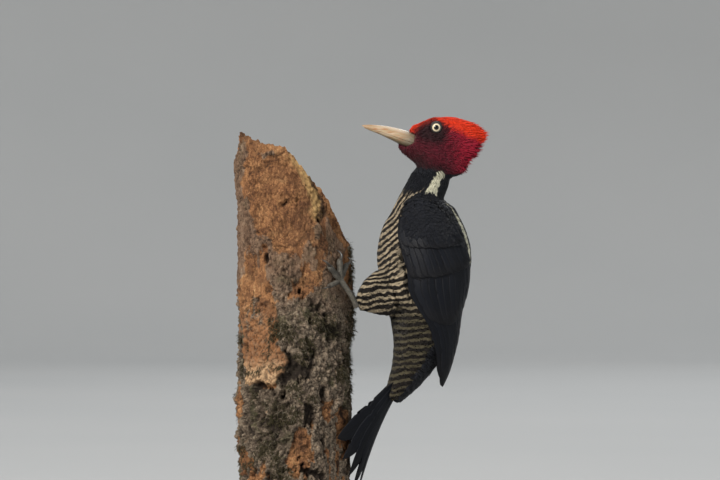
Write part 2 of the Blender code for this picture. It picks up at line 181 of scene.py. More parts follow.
class Finish:
    """A material under construction: its tree, its Principled shader and what its patterns read."""

    def __init__(self, name, roughness=0.5, **constants):
        self.material = bpy.data.materials.new(name)
        self.material.use_nodes = True
        self.tree = self.material.node_tree
        self.shader = self.tree.nodes["Principled BSDF"]
        self.shader.inputs["Roughness"].default_value = roughness
        for socket, value in constants.items():
            self.shader.inputs[socket.replace("_", " ")].default_value = value

    def add(self, kind, settings=(), inputs=(), output=0):
        return add(self.tree, kind, settings, inputs, output)

    def place(self, scale=(1, 1, 1), turn=(0, 0, 0), centre=(0, 0, 0)):
        """Object coordinates, centred, turned and stretched for a pattern."""
        spot = self.add("ShaderNodeTexCoord", output="Object")
        inputs = {"Vector": spot, "Location": [-c for c in centre]}
        moved = self.add("ShaderNodeMapping", {"vector_type": "POINT"}, inputs)
        return self.add("ShaderNodeMapping", {"vector_type": "POINT"},
                        {"Vector": moved, "Rotation": turn, "Scale": scale})

    def noise(self, where, size, detail=3.0, rough=0.55, warp=0.0):
        """Noise whose lumps are about this many mm across."""
        inputs = {"Vector": where, "Scale": 1 / (size * MM), "Detail": detail,
                  "Roughness": rough, "Distortion": warp}
        return self.add("ShaderNodeTexNoise", {}, inputs, "Fac")

    def mix(self, first, second, share):
        """A colour between two colours."""
        return self.add("ShaderNodeMix", {"data_type": "RGBA"}, {0: share, 6: first, 7: second}, 2)

    def tint(self, colour, other, share=1.0):
        """The first colour multiplied by the second."""
        settings = {"data_type": "RGBA", "blend_type": "MULTIPLY"}
        return self.add("ShaderNodeMix", settings, {0: share, 6: colour, 7: other}, 2)

    def shaded(self, colour, shade):
        """The colour made lighter or darker by a number."""
        return self.tint(colour, self.add("ShaderNodeCombineXYZ", {}, {0: shade, 1: shade, 2: shade}))

    def ramp(self, value, *stops):
        return self.add("ShaderNodeValToRGB", {"stops": stops}, {0: value})

    def read(self, name, output="Fac"):
        """An attribute of the mesh."""
        return self.add("ShaderNodeAttribute", {"attribute_name": name}, {}, output)

    def finish(self, colour, roughness=None, height=None, depth=0.2, coat=None):
        """Feeds the shader: a colour, and where they vary its roughness, relief in mm and coat."""
        links = {"Base Color": colour, "Roughness": roughness, "Coat Weight": coat}
        if height is not None:
            relief = {"Height": height, "Distance": depth * MM, "Strength": 1.0}
            links["Normal"] = self.add("ShaderNodeBump", {}, relief)
        for name, value in links.items():
            if isinstance(value, Value):
                self.tree.links.new(value.socket, self.shader.inputs[name])
            elif name == "Base Color":
                self.shader.inputs[name].default_value = (*value, 1.0)
        return self.material


def varnished_wood():
    wood = Finish("dark_varnished_wood", 0.34, Coat_Weight=0.5, Coat_Roughness=0.12)
    along = wood.place(scale=(0.07, 1.0, 1.0), turn=(0.5, 0.03, 0.0))
    figure = wood.noise(along, 4.0, 5.0, 0.6, 0.6)
    pores = wood.noise(wood.place(scale=(0.03, 1.0, 1.0)), 0.7, 2.0)
    colour = wood.ramp(figure, (0.30, (0.018, 0.008, 0.004)), (0.50, (0.052, 0.021, 0.010)),
                       (0.66, (0.085, 0.036, 0.016)))
    colour = wood.mix(colour, (0.012, 0.006, 0.003), pores.clamp(0.60, 0.72) * 0.8)
    return wood.finish(colour, 0.30 + figure * 0.14, pores.clamp(0.50, 0.70) * -1.0, 0.05)


def base_outline(inside):
    """The rounded rectangle of the base, this far inside its outline."""
    corner = max(BASE_CORNER - inside, 1.0)
    reach_x, reach_y = BASE_LENGTH / 2 - inside - corner, BASE_WIDTH / 2 - inside - corner
    points = []
    for quarter, (sx, sy) in enumerate(((1, 1), (-1, 1), (-1, -1), (1, -1))):
        for step in range(BASE_CORNER_STEPS + 1):
            a = math.pi / 2 * (quarter + step / BASE_CORNER_STEPS)
            points.append((sx * reach_x + corner * math.cos(a), sy * reach_y + corner * math.sin(a)))
    return points


cove_in, cove_rise = BASE_COVE
start_in, start_z = BASE_PROFILE[-1]
profile = list(BASE_PROFILE)
for step in range(1, COVE_STEPS + 1):
    turn = math.pi / 2 * step / COVE_STEPS
    inside = start_in + cove_in * (1 - math.cos(turn))
    profile.append((inside, start_z + cove_rise * math.sin(turn)))
inside, level = profile[-1]
profile += [(inside + BASE_TOP_EDGE * 0.3, BASE_HEIGHT - 0.3), (inside + BASE_TOP_EDGE, BASE_HEIGHT)]
rings = [[(x, y, level) for x, y in base_outline(inside)] for inside, level in profile]
plinth = link("stand_plinth", loft(rings), varnished_wood(), smooth_faces=False)
plinth.data.shade_smooth()
plinth.data.set_sharp_from_angle(angle=math.radians(38))
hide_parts("stand_base")
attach(plinth, "root")

# ---- Stand rods
# Two turned steel rods, screwed into the base through a small collar and into the log's sawn foot.
# Each is one turned profile, spun round its own axis.

ROD_SIDES = 40
ROD_COLLAR = (7.2, 3.0)  # radius and height of the collar on the base
ROD_GROOVE = 0.35


def brushed_steel():
    steel = Finish("satin_turned_steel", 0.3, Metallic=1.0)
    turning = steel.noise(steel.place(scale=(0.05, 0.05, 1.0)), 0.5, 2.0)
    colour = steel.mix((0.46, 0.46, 0.47), (0.62, 0.62, 0.63), turning)
    return steel.finish(colour, 0.24 + turning * 0.14, turning, 0.01)


def turned(profile, centre, sides, closed_ends=True):
    """A turned shape round a vertical axis. The profile is (radius, height) from the bottom."""
    turns = [math.tau * i / sides for i in range(sides)]
    rings = [[(centre[0] + radius * math.cos(a), centre[1] + radius * math.sin(a), level) for a in turns]
             for radius, level in profile]
    return loft(rings, closed_ends)


rod_steel = brushed_steel()
for number in (1, 2):
    low, high = (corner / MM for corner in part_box(f"stand_rod_{number}"))
    middle, radius = (low + high) / 2, (high.x - low.x) / 2
    collar, collar_top = ROD_COLLAR[0], low.z + ROD_COLLAR[1]
    rod_profile = [
        (collar - 0.5, low.z), (collar, low.z + 0.5), (collar, collar_top - 0.9),
        (collar - 0.25, collar_top - 0.35), (collar - 0.9, collar_top), (radius + 0.5, collar_top + 0.1),
        (radius - ROD_GROOVE, collar_top + 0.4), (radius, collar_top + 0.9),
        (radius, high.z - 1.6), (radius - ROD_GROOVE, high.z - 1.2), (radius, high.z - 0.8),
        (radius, high.z),
    ]
    post = link(f"stand_post_{number}", turned(rod_profile, middle, ROD_SIDES), rod_steel)
    post.data.set_sharp_from_angle(angle=math.radians(35))
    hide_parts(f"stand_rod_{number}")
    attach(post, "root")

# ---- Perch
# A cut length of a dead, rotten trunk: cracked bark, an orange rotten scar on the near side, a broken
# hollow top and a sawn foot. One fine grid is wrapped round the log and pushed in and out by noise.

PERCH_X, PERCH_RADIUS = -50.0, 50.0
PERCH_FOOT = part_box("perch_trunk")[0].z / MM
PERCH_TOP, PERCH_TOP_RISE, PERCH_TOP_CURVE = 278.0, 94.0, 2.3
PERCH_SIDES, PERCH_ROWS, HOLLOW_ROWS = 316, 276, 34
HOLLOW_DEPTH, HOLE_DEPTH = 21.0, 6.0
SCAR_ANGLE, SCAR_HEIGHT, SCAR_RADIUS = math.radians(-92), 320.0, 38.0
TONGUE_ANGLE, TONGUE_FOOT, TONGUE_TOP, TONGUE_HALF = math.radians(-126), 155.0, 220.0, 21.0
RING_WIDTH, PLATE_SIZE, PEBBLE_SIZE = 4.6, 8.5, 5.6
BEETLE_HOLES = [  # angle in degrees, height, radius
    (-118, 268, 4.2), (-70, 214, 3.0), (-140, 190, 3.6), (-35, 176, 2.6), (-100, 150, 3.2),
    (150, 300, 3.4), (110, 240, 2.8), (60, 200, 3.4), (-165, 330, 3.0), (-60, 300, 2.6),
    (175, 120, 3.0), (-82, 240, 2.2), (-128, 232, 2.0), (95, 330, 3.6),
]


def ease(value, start, end):
    """0 before start, 1 after end and a smooth step between them. Start may be the larger one."""
    share = np.clip((np.asarray(value, float) - start) / (end - start), 0.0, 1.0)
    return share * share * (3 - 2 * share)


def between(value, start, full, fade, end):
    """1 from full to fade, and 0 before start and after end."""
    return ease(value, start, full) * ease(value, end, fade)


def lumps(points, size, seed=0.0):
    """Perlin noise from -1 to 1 at each point, with lumps of this size."""
    spots = (np.asarray(points, float) / size + seed).tolist()
    return np.fromiter((noise.noise(Vector(spot)) for spot in spots), float, len(spots))


def fractal(points, size, seed, octaves=4):
    """Perlin noise in several sizes, each about half the last."""
    return sum(lumps(points, size / 2.1**k, seed + 3.7 * k) * 0.55**k for k in range(octaves))


def cracks(points, size, seed=0.0):
    """0 on the borders between the cells of a Voronoi pattern, rising to 1 inside them."""
    spots = (np.asarray(points, float) / size + seed).tolist()
    nearest = np.array([noise.voronoi(Vector(spot))[0][:2] for spot in spots])
    return np.clip((nearest[:, 1] - nearest[:, 0]) / 0.35, 0.0, 1.0)


def perch_radius(angle, level):
    ridges = 1.5 * np.sin(3 * angle + 0.9) + 0.9 * np.sin(7 * angle + level / 31)
    return PERCH_RADIUS + ridges + 1.1 * np.sin(level / 17 + 2 * angle)


def perch_top(angle):
    splinters = 4.0 * np.abs(np.sin(1.5 * angle + 0.4)) ** 3 + 4.0 * np.abs(np.sin(3.5 * angle + 1.3)) ** 4
    nearness = (1 + np.cos(angle)) / 2
    return PERCH_TOP + PERCH_TOP_RISE * (1 - nearness**PERCH_TOP_CURVE) + splinters


def on_perch(angle, level, above):
    """A point this far above the log's mean surface."""
    radius = perch_radius(angle, level) + above
    return np.stack([PERCH_X + radius * np.cos(angle), radius * np.sin(angle), level + 0 * radius], -1)


def store(mesh, name, values, kind="FLOAT", domain="POINT"):
    """Writes an attribute: one number, vector or colour for each vertex."""
    layer = mesh.attributes.get(name) or mesh.attributes.new(name, kind, domain)
    values = np.asarray(values, np.float32)
    if kind == "FLOAT_COLOR":
        values = np.hstack([values, np.ones((len(values), 1), np.float32)])
    field = {"FLOAT": "value", "FLOAT_VECTOR": "vector", "FLOAT2": "vector", "FLOAT_COLOR": "color"}[kind]
    layer.data.foreach_set(field, values.ravel())


def round_log(centre):
    """How far each point of the grid is round the log from this angle, in mm."""
    return PERCH_RADIUS * ((angle - centre + math.pi) % (math.tau) - math.pi)


angles = np.linspace(0, math.tau, PERCH_SIDES, endpoint=False)
angle, share = (grid.ravel() for grid in np.meshgrid(angles, np.linspace(0, 1, PERCH_ROWS)))
rim = np.tile(perch_top(angles), PERCH_ROWS)
level = PERCH_FOOT + (rim - PERCH_FOOT) * share
bare = on_perch(angle, level, 0.0)
below_rim = rim - level

upright = bare * (1.0, 1.0, 0.24)
wander = np.stack([lumps(bare, 26.0, 3.1), lumps(bare, 26.0, 7.7), lumps(bare, 26.0, 11.3)], 1)
plates = cracks(upright + 5.0 * wander, PLATE_SIZE)
grain, crumbs = lumps(upright, 2.4, 1.7), fractal(bare, 6.0, 5.2, 3)
swell, broken = fractal(bare, 30.0, 9.4), fractal(bare * (1.0, 1.0, 0.7), 15.0, 2.9)

around = round_log(SCAR_ANGLE)
from_scar = np.hypot(around + 3, 0.80 * (level - SCAR_HEIGHT)) + 9.0 * swell + 6.0 * broken
scar = 1 - ease(from_scar, SCAR_RADIUS * 0.86, SCAR_RADIUS * 1.02)
near_side = ease(-np.sin(angle), -0.3, 0.4)
aside = round_log(TONGUE_ANGLE)
under_tongue = between(level, 92, 112, 150, 158) * ease(np.abs(aside), 40, 24)
decay = fractal(bare * (1.0, 1.0, 0.45), 42.0, 2.3, 5) + 0.20 * ease(level, 190, 90)
decay += 0.20 * near_side * ease(level, 225, 262)
# Under the tongue's overhang no orange rot shows, so the bark stays dark there: painted shadow.
decay -= 0.8 * under_tongue
patches = ease(decay, 0.22, 0.36)
torn_rim = 1 - ease(below_rim + 6 * broken, 3.0, 11.0)
# One thick tongue of punky wood stands out under the scar, broken off along its lower edge.
ragged = 9 * broken + 5 * swell
tongue = ease(np.abs(aside) + ragged, TONGUE_HALF, TONGUE_HALF - 3.5)
tongue *= ease(level - 0.012 * aside**2 + ragged, TONGUE_FOOT, TONGUE_FOOT + 3.0)
tongue *= ease(level + 14 * broken, TONGUE_TOP + 16, TONGUE_TOP - 18)
rotten = np.clip(np.maximum(np.maximum(scar, 0.85 * patches), np.maximum(torn_rim, tongue)), 0, 1)
shaggy = ease(level, 268, 210)  # the lower bark is crumbled and loose
bark = (1.3 - 0.7 * shaggy) * ease(plates, 0.0, 0.55) - 0.9 + 1.1 * swell + 0.45 * grain
bark += (1.1 + 1.2 * shaggy) * crumbs + (0.6 + 1.1 * shaggy) * broken
rings = np.sin(math.tau * (from_scar + 2.2 * wander[:, 0]) / RING_WIDTH)
bowl = np.clip(1 - (from_scar / SCAR_RADIUS) ** 2, 0, 1)
punky = -2.6 + 1.4 * swell + 1.5 * crumbs + 0.8 * grain + 1.2 * broken
punky += scar * (0.35 * rings - 4.5 * bowl - 7.0 * (1 - ease(from_scar + 3 * broken, 2.0, 10.0)))
relief = bark + (punky - bark) * rotten + 4.6 * tongue
# The rot has crumbled into small lumps with gaps between them, less so in the bowl of the scar. The gaps
# also get painted shade.
shaken = np.stack([2.6 * crumbs, 2.6 * broken, 2.0 * grain], 1)
pebbles = cracks(bare + 5.0 * wander + shaken, PEBBLE_SIZE, 2.2)
crumbly = np.maximum(0.9 * shaggy, ease(fractal(bare, 20.0, 7.3), -0.25, 0.15)) * (1 - 0.85 * bowl * scar)
crumbly *= 0.45 + 0.55 * np.maximum(near_side, shaggy)
relief += (1.9 + 1.3 * broken) * crumbly * (pebbles - 0.65)
# Hollows in the loose lower bark and under the tongue are sunk into the relief and kept as a mask of
# painted shade for the wood's colour.
cavity = ease(broken + 0.35 * swell, -0.26, -0.44) * shaggy * (1 - tongue)
cavity = np.maximum(cavity, 0.55 * under_tongue * ease(crumbs, 0.3, -0.1))
relief -= 4.5 * cavity
# The gaps between the lumps are added to the mask of painted shade.
cavity = np.maximum(cavity, 0.8 * crumbly * ease(pebbles, 0.42, 0.05))
for hole_angle, hole_level, hole_radius in BEETLE_HOLES:
    from_hole = np.hypot(round_log(math.radians(hole_angle)), (level - hole_level) * 0.7)
    relief -= HOLE_DEPTH * (1 - ease(from_hole, hole_radius * 0.55, hole_radius))
# Under the feet and the tail the bark stays even.
facing_bird = np.cos(angle)
held = ease(facing_bird, 0.20, 0.42) * ease(level, 226, 238) * (1 - ease(level, 280, 290))
held = np.maximum(held, ease(facing_bird, 0.55, 0.7) * (1 - ease(level, 128, 140)))
relief += (np.clip(relief, -1.2, 0.1) - relief) * held
relief *= ease(share, -0.01, 0.02)
outwards = np.stack([np.cos(angle), np.sin(angle), 0 * angle], 1)
shell = bare + outwards * relief[:, None]
shell[:, 2] += 2.2 * lumps(outwards * 50, 2.6) * (1 - ease(below_rim, 0.0, 14.0))

# The hollow goes on from the rim towards the log's axis.
hollow_share = np.linspace(1, 0, HOLLOW_ROWS + 1)[1:] ** 0.85
inner = np.maximum(np.repeat(hollow_share, PERCH_SIDES), 0.012)
edge = np.tile(shell[-PERCH_SIDES:], (HOLLOW_ROWS, 1))
middle = PERCH_TOP + 0.7 * PERCH_TOP_RISE
cup = np.stack([PERCH_X + (edge[:, 0] - PERCH_X) * inner, edge[:, 1] * inner,
                middle + (edge[:, 2] - middle) * inner], 1)
drop = HOLLOW_DEPTH * (1 - inner**2.2) + 3.0 * (1 - ease(inner, 0.93, 1.0))
cup[:, 2] -= drop + 1.6 * lumps(cup * (1, 1, 0.3), 3.0) * ease(inner, 1.0, 0.9)
cup[:, 2] += 2.4 * lumps(cup, 9.0, 4.0) * ease(inner, 1.0, 0.8)
rows = PERCH_ROWS + HOLLOW_ROWS
corner = np.arange(PERCH_SIDES)
beside = (corner + 1) % PERCH_SIDES
quads = [np.stack([row * PERCH_SIDES + corner, row * PERCH_SIDES + beside,
                   (row + 1) * PERCH_SIDES + beside, (row + 1) * PERCH_SIDES + corner], 1)
         for row in range(rows - 1)]
faces = np.vstack(quads).tolist()
faces += [corner[::-1].tolist(), ((rows - 1) * PERCH_SIDES + corner).tolist()]
log_mesh = new_mesh("perch_log", np.vstack([shell, cup]), faces)
sap = ease(around + 0.5 * (level - SCAR_HEIGHT) + 8 * broken, 12.0, 24.0)
# Inside the broken top's hollow the mask of painted shade and the depth rise towards its bottom, so it is
# painted darker there.
for name, on_shell, in_hollow in (
        ("rotten", rotten, 1 + 0 * inner), ("scar", scar, 0.5 + 0 * inner), ("sap", sap, 0 * inner),
        ("cavity", cavity, 0.6 * (1 - inner)), ("tongue", tongue, 0 * inner),
        ("depth", relief + 5.5 * scar * bowl, -4.0 * (1 - inner) - 1.0), ("rings", from_scar, 60 * inner)):
    store(log_mesh, name, np.concatenate([on_shell, in_hollow]))


def dead_wood():
    wood = Finish("dead_rotten_wood", 0.9, Specular_IOR_Level=0.2)
    whole, stretched = wood.place(), wood.place(scale=(1, 1, 0.14))
    fibre = wood.noise(stretched, 1.1, 4.0, 0.65)
    mottle, speck = wood.noise(whole, 13.0, 6.0, 0.72, 0.4), wood.noise(whole, 1.5, 4.0, 0.75)
    crust, damp = wood.noise(whole, 6.0, 6.0, 0.78, 0.8), wood.noise(whole, 30.0, 5.0, 0.7)
    _, _, up = xyz(whole)
    low = (up * 1000.0 + mottle * 60.0).clamp(300.0, 235.0)
    bark = wood.ramp(mottle * 0.4 + fibre * 0.3 + speck * 0.3, (0.36, (0.024, 0.015, 0.011)),
                     (0.48, (0.135, 0.080, 0.050)), (0.58, (0.250, 0.165, 0.108)),
                     (0.66, (0.42, 0.33, 0.235)))
    crumbled = wood.ramp(speck * 0.5 + crust * 0.5, (0.38, (0.019, 0.015, 0.012)),
                         (0.48, (0.130, 0.098, 0.070)), (0.61, (0.36, 0.29, 0.21)))
    bark = wood.mix(bark, crumbled, low * 0.9)
    bark = wood.mix(bark, (0.255, 0.130, 0.060), crust.clamp(0.57, 0.68) * 0.6)
    bark = wood.mix(bark, (0.280, 0.270, 0.195), speck.clamp(0.60, 0.68) * (0.2 + 0.4 * low))
    bark = wood.mix(bark, (0.048, 0.050, 0.018), damp.clamp(0.52, 0.64) * (0.2 + 0.5 * low))
    rot = wood.ramp(mottle * 0.45 + speck * 0.3 + fibre * 0.25, (0.37, (0.034, 0.018, 0.011)),
                    (0.45, (0.150, 0.066, 0.030)), (0.54, (0.330, 0.160, 0.068)),
                    (0.62, (0.47, 0.275, 0.130)), (0.70, (0.58, 0.42, 0.24)))
    rot = wood.mix(rot, (0.065, 0.030, 0.017), damp.clamp(0.48, 0.62) * 0.6)
    rings, scar_share = wood.read("rings"), wood.read("scar")
    growth = (rings * 1.5 + mottle * 14.0 + damp * 12.0).math("SINE")
    rot = wood.mix(rot, (0.075, 0.032, 0.015), growth.clamp(0.0, 1.0) * scar_share * 0.5)
    sap_side = wood.read("sap")
    sap = rings.clamp(17.0, 23.0) * (1.0 - rings.clamp(29.0, 35.0)) * scar_share * sap_side
    rot = wood.mix(rot, (0.47, 0.30, 0.125), sap * crust.clamp(0.35, 0.52) * 0.85)
    rim = rings.clamp(29.0, 33.0) * (1.0 - rings.clamp(34.0, 38.0)) * scar_share * sap_side
    rot = wood.mix(rot, (0.028, 0.017, 0.011), rim * 0.85)
    heart = 1.0 - (rings + mottle * 14.0).clamp(8.0, 15.0)
    rot = wood.mix(rot, (0.022, 0.013, 0.010), heart * scar_share * 0.8)
    plate = wood.mix((0.250, 0.150, 0.088), (0.300, 0.135, 0.058), crust.clamp(0.42, 0.56))
    plate = wood.mix(plate, (0.72, 0.49, 0.28), (up * 1000.0 + mottle * 40.0).clamp(205.0, 183.0) * 0.85)
    rot = wood.mix(rot, plate, wood.read("tongue") * speck.clamp(0.30, 0.55) * 0.8)
    rotten = wood.read("rotten") + (crust - 0.5) * 1.1 + (speck - 0.5) * 0.6
    colour = wood.mix(bark, rot, rotten.clamp(0.28, 0.70))
    # Painted shade: the wood is darkened in deep crevices and hollows, and under the tongue.
    deep = 1.0 - wood.read("depth").clamp(-7.0, -2.8)
    dark = deep.math("MAXIMUM", wood.read("cavity"))
    colour = wood.mix(colour, (0.009, 0.006, 0.005), dark * 0.9)
    rough_relief = fibre * 0.6 + speck * 0.7 + crust * 0.5
    return wood.finish(colour, 0.85 + speck * 0.12, rough_relief, 1.1)


log = link("perch_log", log_mesh, dead_wood())
log_mesh.set_sharp_from_angle(angle=math.radians(70))
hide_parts("perch_trunk")
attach(log, "root")

# ---- Skin
# One closed skin over head, crest, neck, trunk, thighs and the arms of the folded wings. The flesh
# solids are swollen a little so that they meet, remeshed as one, smoothed and drawn in by the depth
# of the feathers on it. It carries the plumage's markings, which show between the feathers.

FLESH = ("head", "crest", "neck", "trunk", "thigh_left", "thigh_right")
SKIN_VOXEL, SKIN_SWELL = 0.95, 0.5
# Trunk and neck: spine point (x, z), half depth in the bird's own plane, half width
BODY = [
    (77.0, 362.0, 14.0, 13.0), (73.5, 343.0, 16.0, 14.5), (67.8, 332.0, 18.2, 17.3),
    (62.4, 322.5, 19.2, 21.6), (63.2, 314.0, 25.2, 26.2), (64.0, 305.0, 31.2, 29.9),
    (64.3, 289.0, 38.0, 34.0), (65.0, 270.0, 41.2, 36.0), (65.2, 249.0, 38.6, 35.5),
    (65.5, 227.0, 33.0, 32.5), (64.0, 206.0, 27.0, 28.0), (59.5, 187.0, 21.5, 23.0),
    (52.5, 170.0, 16.0, 18.5), (44.0, 155.5, 11.0, 15.0), (36.5, 144.5, 7.0, 12.0),
]
# Folded wing: height, front and back edge as degrees round the body (0 is the spine), thickness
WING = [
    (326.5, 96.0, 78.0, 1.6), (321.0, 128.0, 64.0, 3.4), (311.0, 132.0, 52.0, 4.6),
    (298.0, 129.0, 40.0, 5.0), (284.0, 125.0, 32.0, 5.0), (270.0, 120.0, 22.0, 4.8),
    (255.0, 117.0, 11.0, 4.6), (240.0, 118.0, 4.0, 4.4), (228.0, 110.0, 1.5, 4.0),
    (214.0, 96.0, 1.5, 3.6), (198.0, 86.0, 2.0, 3.2), (182.0, 78.0, 5.0, 2.8),
    (167.0, 70.0, 10.0, 2.4), (156.5, 52.0, 20.0, 1.6),
]
# What the wings lie on below the flank, where they leave the body: height, centre x, depth, width
WING_GUIDE_LOW = [(214.0, 66.0, 29.5, 30.0), (198.0, 68.5, 25.0, 25.5), (182.0, 70.0, 20.0, 20.5),
                  (167.0, 71.0, 14.8, 15.0), (156.5, 72.0, 9.6, 10.0)]
WING_CLEAR = 0.9
ARM = (322.0, 236.0)  # heights between which the wing has an arm of flesh
FLANK_TOP, FLANK_LENGTH, FLANK_RADIUS = 276.0, 62.0, 6.2
ORBIT, ORBIT_RADII = (75.5, 6.8, 381.8), (11.5, 5.6, 7.4)
COAT_DEPTH = 2.1  # how far the skin lies inside the CAD solids on the trunk
CREST_AIM = np.array((140.0, 0.0, 377.0))  # the feathers at the crest's end point here
BILL_ROOT = np.array((52.0, 0.0, 373.0))  # the head's feathers all point away from here
# Bill: x, lowest z, highest z, half width, for its upper and its lower half
BILL_UPPER = [
    (10.5, 384.7, 385.6, 0.9), (16, 382.9, 385.8, 1.9), (26, 380, 385.2, 3.1), (38, 375.9, 383.3, 4.6),
    (48, 372.3, 380.8, 6.2), (56, 370, 377.9, 7.2), (62, 369, 375.6, 6.6),
]
BILL_LOWER = [
    (12.2, 383.2, 384, 0.8), (18, 380.6, 381.9, 1.7), (27, 376.9, 379.3, 2.9), (38, 371.6, 375.5, 4.4),
    (48, 366.8, 371.9, 6.0), (56, 364.8, 369.6, 7.0), (62, 365.4, 368.6, 6.4),
]
# Where the feathers begin beside the bill: height and x
FEATHER_LINE = [(365.0, 45.0), (367.0, 50.0), (369.5, 54.5), (373.0, 55.5), (377.0, 56.0),
                (379.5, 54.0), (381.5, 52.0)]
EYE = np.array((75.7, 8.6, 383.0))  # centre of the right eyeball; the left one is at -y
THIGH_LINE = (np.array((50.0, 15.0, 243.0)), np.array((8.0, 25.8, 228.0)))
# Crown: x, and the height above which the head is scarlet
CROWN = [(42, 381.0), (50, 380.5), (54, 379.5), (58, 381.0), (62, 384.0), (68, 387.0), (76, 388.2),
         (85, 386.0), (95, 380.5), (105, 376.0), (115, 369.5), (122, 366.0)]
# Lines of colour: height, degrees from the spine, half width
NECK_STRIPE = [(353, 60, 0.5), (348, 63, 1.1), (345, 66, 2.2), (341.5, 69, 3.6), (333, 69, 4.6),
               (326, 65, 6.4), (320, 65, 6.4)]
BACK_STRIPE = [(318, 24, 0.5), (309, 24, 1.2), (303, 22, 2.0), (297, 20, 3.0), (285, 18, 3.1),
               (268, 15, 2.6), (254, 11, 2.0), (245, 7, 1.2)]
# The shoulder line is a painted highlight along the wing's upper front edge.
SHOULDER_HIGHLIGHT = [(328.5, 94, 0.9), (326.5, 105, 1.3), (322.5, 118, 1.4), (317, 133, 1.2),
                 (311, 140, 1.0), (303, 146, 0.7), (296, 149, 0.4)]
# Where the bars begin: height and degrees from the spine
BARRED_FROM = [(150, 62), (170, 70), (198, 66), (214, 70), (228, 84), (240, 104), (255, 111),
               (298, 123), (311, 127), (321, 124)]
BAR_PERIOD = 5.7
HOOD_EDGE, HOOD_DROP = 347.5, 4.5  # the red hood's lower edge at the throat, and its drop at the nape

BLACK, WHITE = (0.0082, 0.0092, 0.0130), (0.70, 0.67, 0.50)
# The scarlet is set bright as painted light on the crown, and the maroon of the face is partly painted
# shade.
SCARLET, CRIMSON, MAROON = (0.98, 0.050, 0.012), (0.36, 0.009, 0.030), (0.120, 0.009, 0.020)
# The dark throat colour is partly painted shade under the chin.
SHADED_THROAT, EYE_SHADE = (0.052, 0.008, 0.011), (0.022, 0.008, 0.010)
# The dull bar colour serves as painted shadow on the lower belly and as the thigh's duller buff.
PALE_BAR, DULL_BAR, DARK_BAR = (0.44, 0.355, 0.240), (0.078, 0.066, 0.040), (0.014, 0.011, 0.009)
PLAIN_FLANK = (0.20, 0.165, 0.115)
# The throat edge colour is painted shade under the chin, and the pale edge a painted highlight along the
# wing's front edge.
EDGE_HIGHLIGHT, BILL_EDGE, SHADE_UNDER_CHIN = (0.34, 0.28, 0.20), (0.24, 0.19, 0.13), (0.020, 0.006, 0.008)


def along(table, heights, *columns):
    """Columns of a table that begins with heights, read at these heights as smooth curves."""
    table = np.array(sorted(table), float)
    keys, slopes = table[:, 0], np.gradient(table, table[:, 0], axis=0)
    heights = np.clip(heights, keys[0], keys[-1])
    at = np.clip(np.searchsorted(keys, heights, side="right") - 1, 0, len(keys) - 2)
    step = keys[at + 1] - keys[at]
    t = (heights - keys[at]) / step
    curve = ((2 * t - 3) * t * t + 1, ((t - 2) * t + 1) * t * step,
             (3 - 2 * t) * t * t, (t - 1) * t * t * step)
    return [curve[0] * table[at, k] + curve[1] * slopes[at, k] + curve[2] * table[at + 1, k]
            + curve[3] * slopes[at + 1, k] for k in columns]


def body_at(heights):
    """Centre x, half depth and half width of the trunk and neck."""
    return along([(z, x, depth, width) for x, z, depth, width in BODY], heights, 1, 2, 3)


def guide_at(heights):
    """The same for what the folded wings lie on."""
    upper = [(z, x, depth, width) for x, z, depth, width in BODY[1:10]]
    return along(upper + WING_GUIDE_LOW, heights, 1, 2, 3)


def round_body(points):
    """The angle of each point round the spine in degrees, 0 on the back and 180 on the breast."""
    centre, depth, width = body_at(points[:, 2])
    return np.degrees(np.arctan2(np.abs(points[:, 1]) / width, (points[:, 0] - centre) / depth))


def wing_point(height, share, out):
    """Right wing: a point on its face, share from front edge to back edge, out above the body."""
    centre, depth, width = guide_at(height)
    front, back = along(WING, height, 1, 2)
    a = np.radians(front + (back - front) * share)
    out = WING_CLEAR + out
    return np.stack([centre + (depth + out) * np.cos(a), (width + out) * np.sin(a), height + 0 * a], -1)


def wing_thickness(height, share):
    """How far the wing's outer face stands above its inner one: most behind the middle."""
    thick, = along(WING, height, 3)
    return thick * (0.32 + 0.68 * np.sin(math.pi * (0.92 - 0.80 * np.clip(share, 0, 1))))


def wing_share(points):
    """Where each point lies on the wing, 0 at its front edge and 1 at its back edge."""
    front, back = along(WING, points[:, 2], 1, 2)
    return (front - round_body(points)) / (front - back)


def blend(first, second, share):
    """First at share 0, second at share 1, for rows of vectors or colours."""
    return np.asarray(first) + (np.asarray(second) - np.asarray(first)) * np.asarray(share)[..., None]


def beside_bill(points):
    """The bill's half width level with each point, and how far the point is behind the feather line."""
    x, _, z = points.T
    gape, ridge, upper = along(BILL_UPPER, x, 1, 2, 3)
    keel, lower = along(BILL_LOWER, x, 1, 3)
    above = np.clip((z - gape) / (ridge - gape), 0, 1)
    below = np.clip((gape - z) / (gape - keel), 0, 1)
    wide = np.where(z > gape, upper * (1 - above**2.3) ** 0.5, lower * (1 - below**2.3) ** 0.5)
    inside = (z < ridge + 0.3) & (z > keel - 0.3)
    line, = along(FEATHER_LINE, z, 1)
    return wide, np.where(inside, x - line, 9.0)


def above_hood_edge(points):
    """Height over the red hood's edge, which runs a little lower at the nape than at the throat."""
    return points[:, 2] - (HOOD_EDGE - HOOD_DROP * ease(points[:, 0], 66, 92))


def hood(points):
    """1 on the red hood and 0 below it."""
    return ease(above_hood_edge(points), -0.6, 0.6)


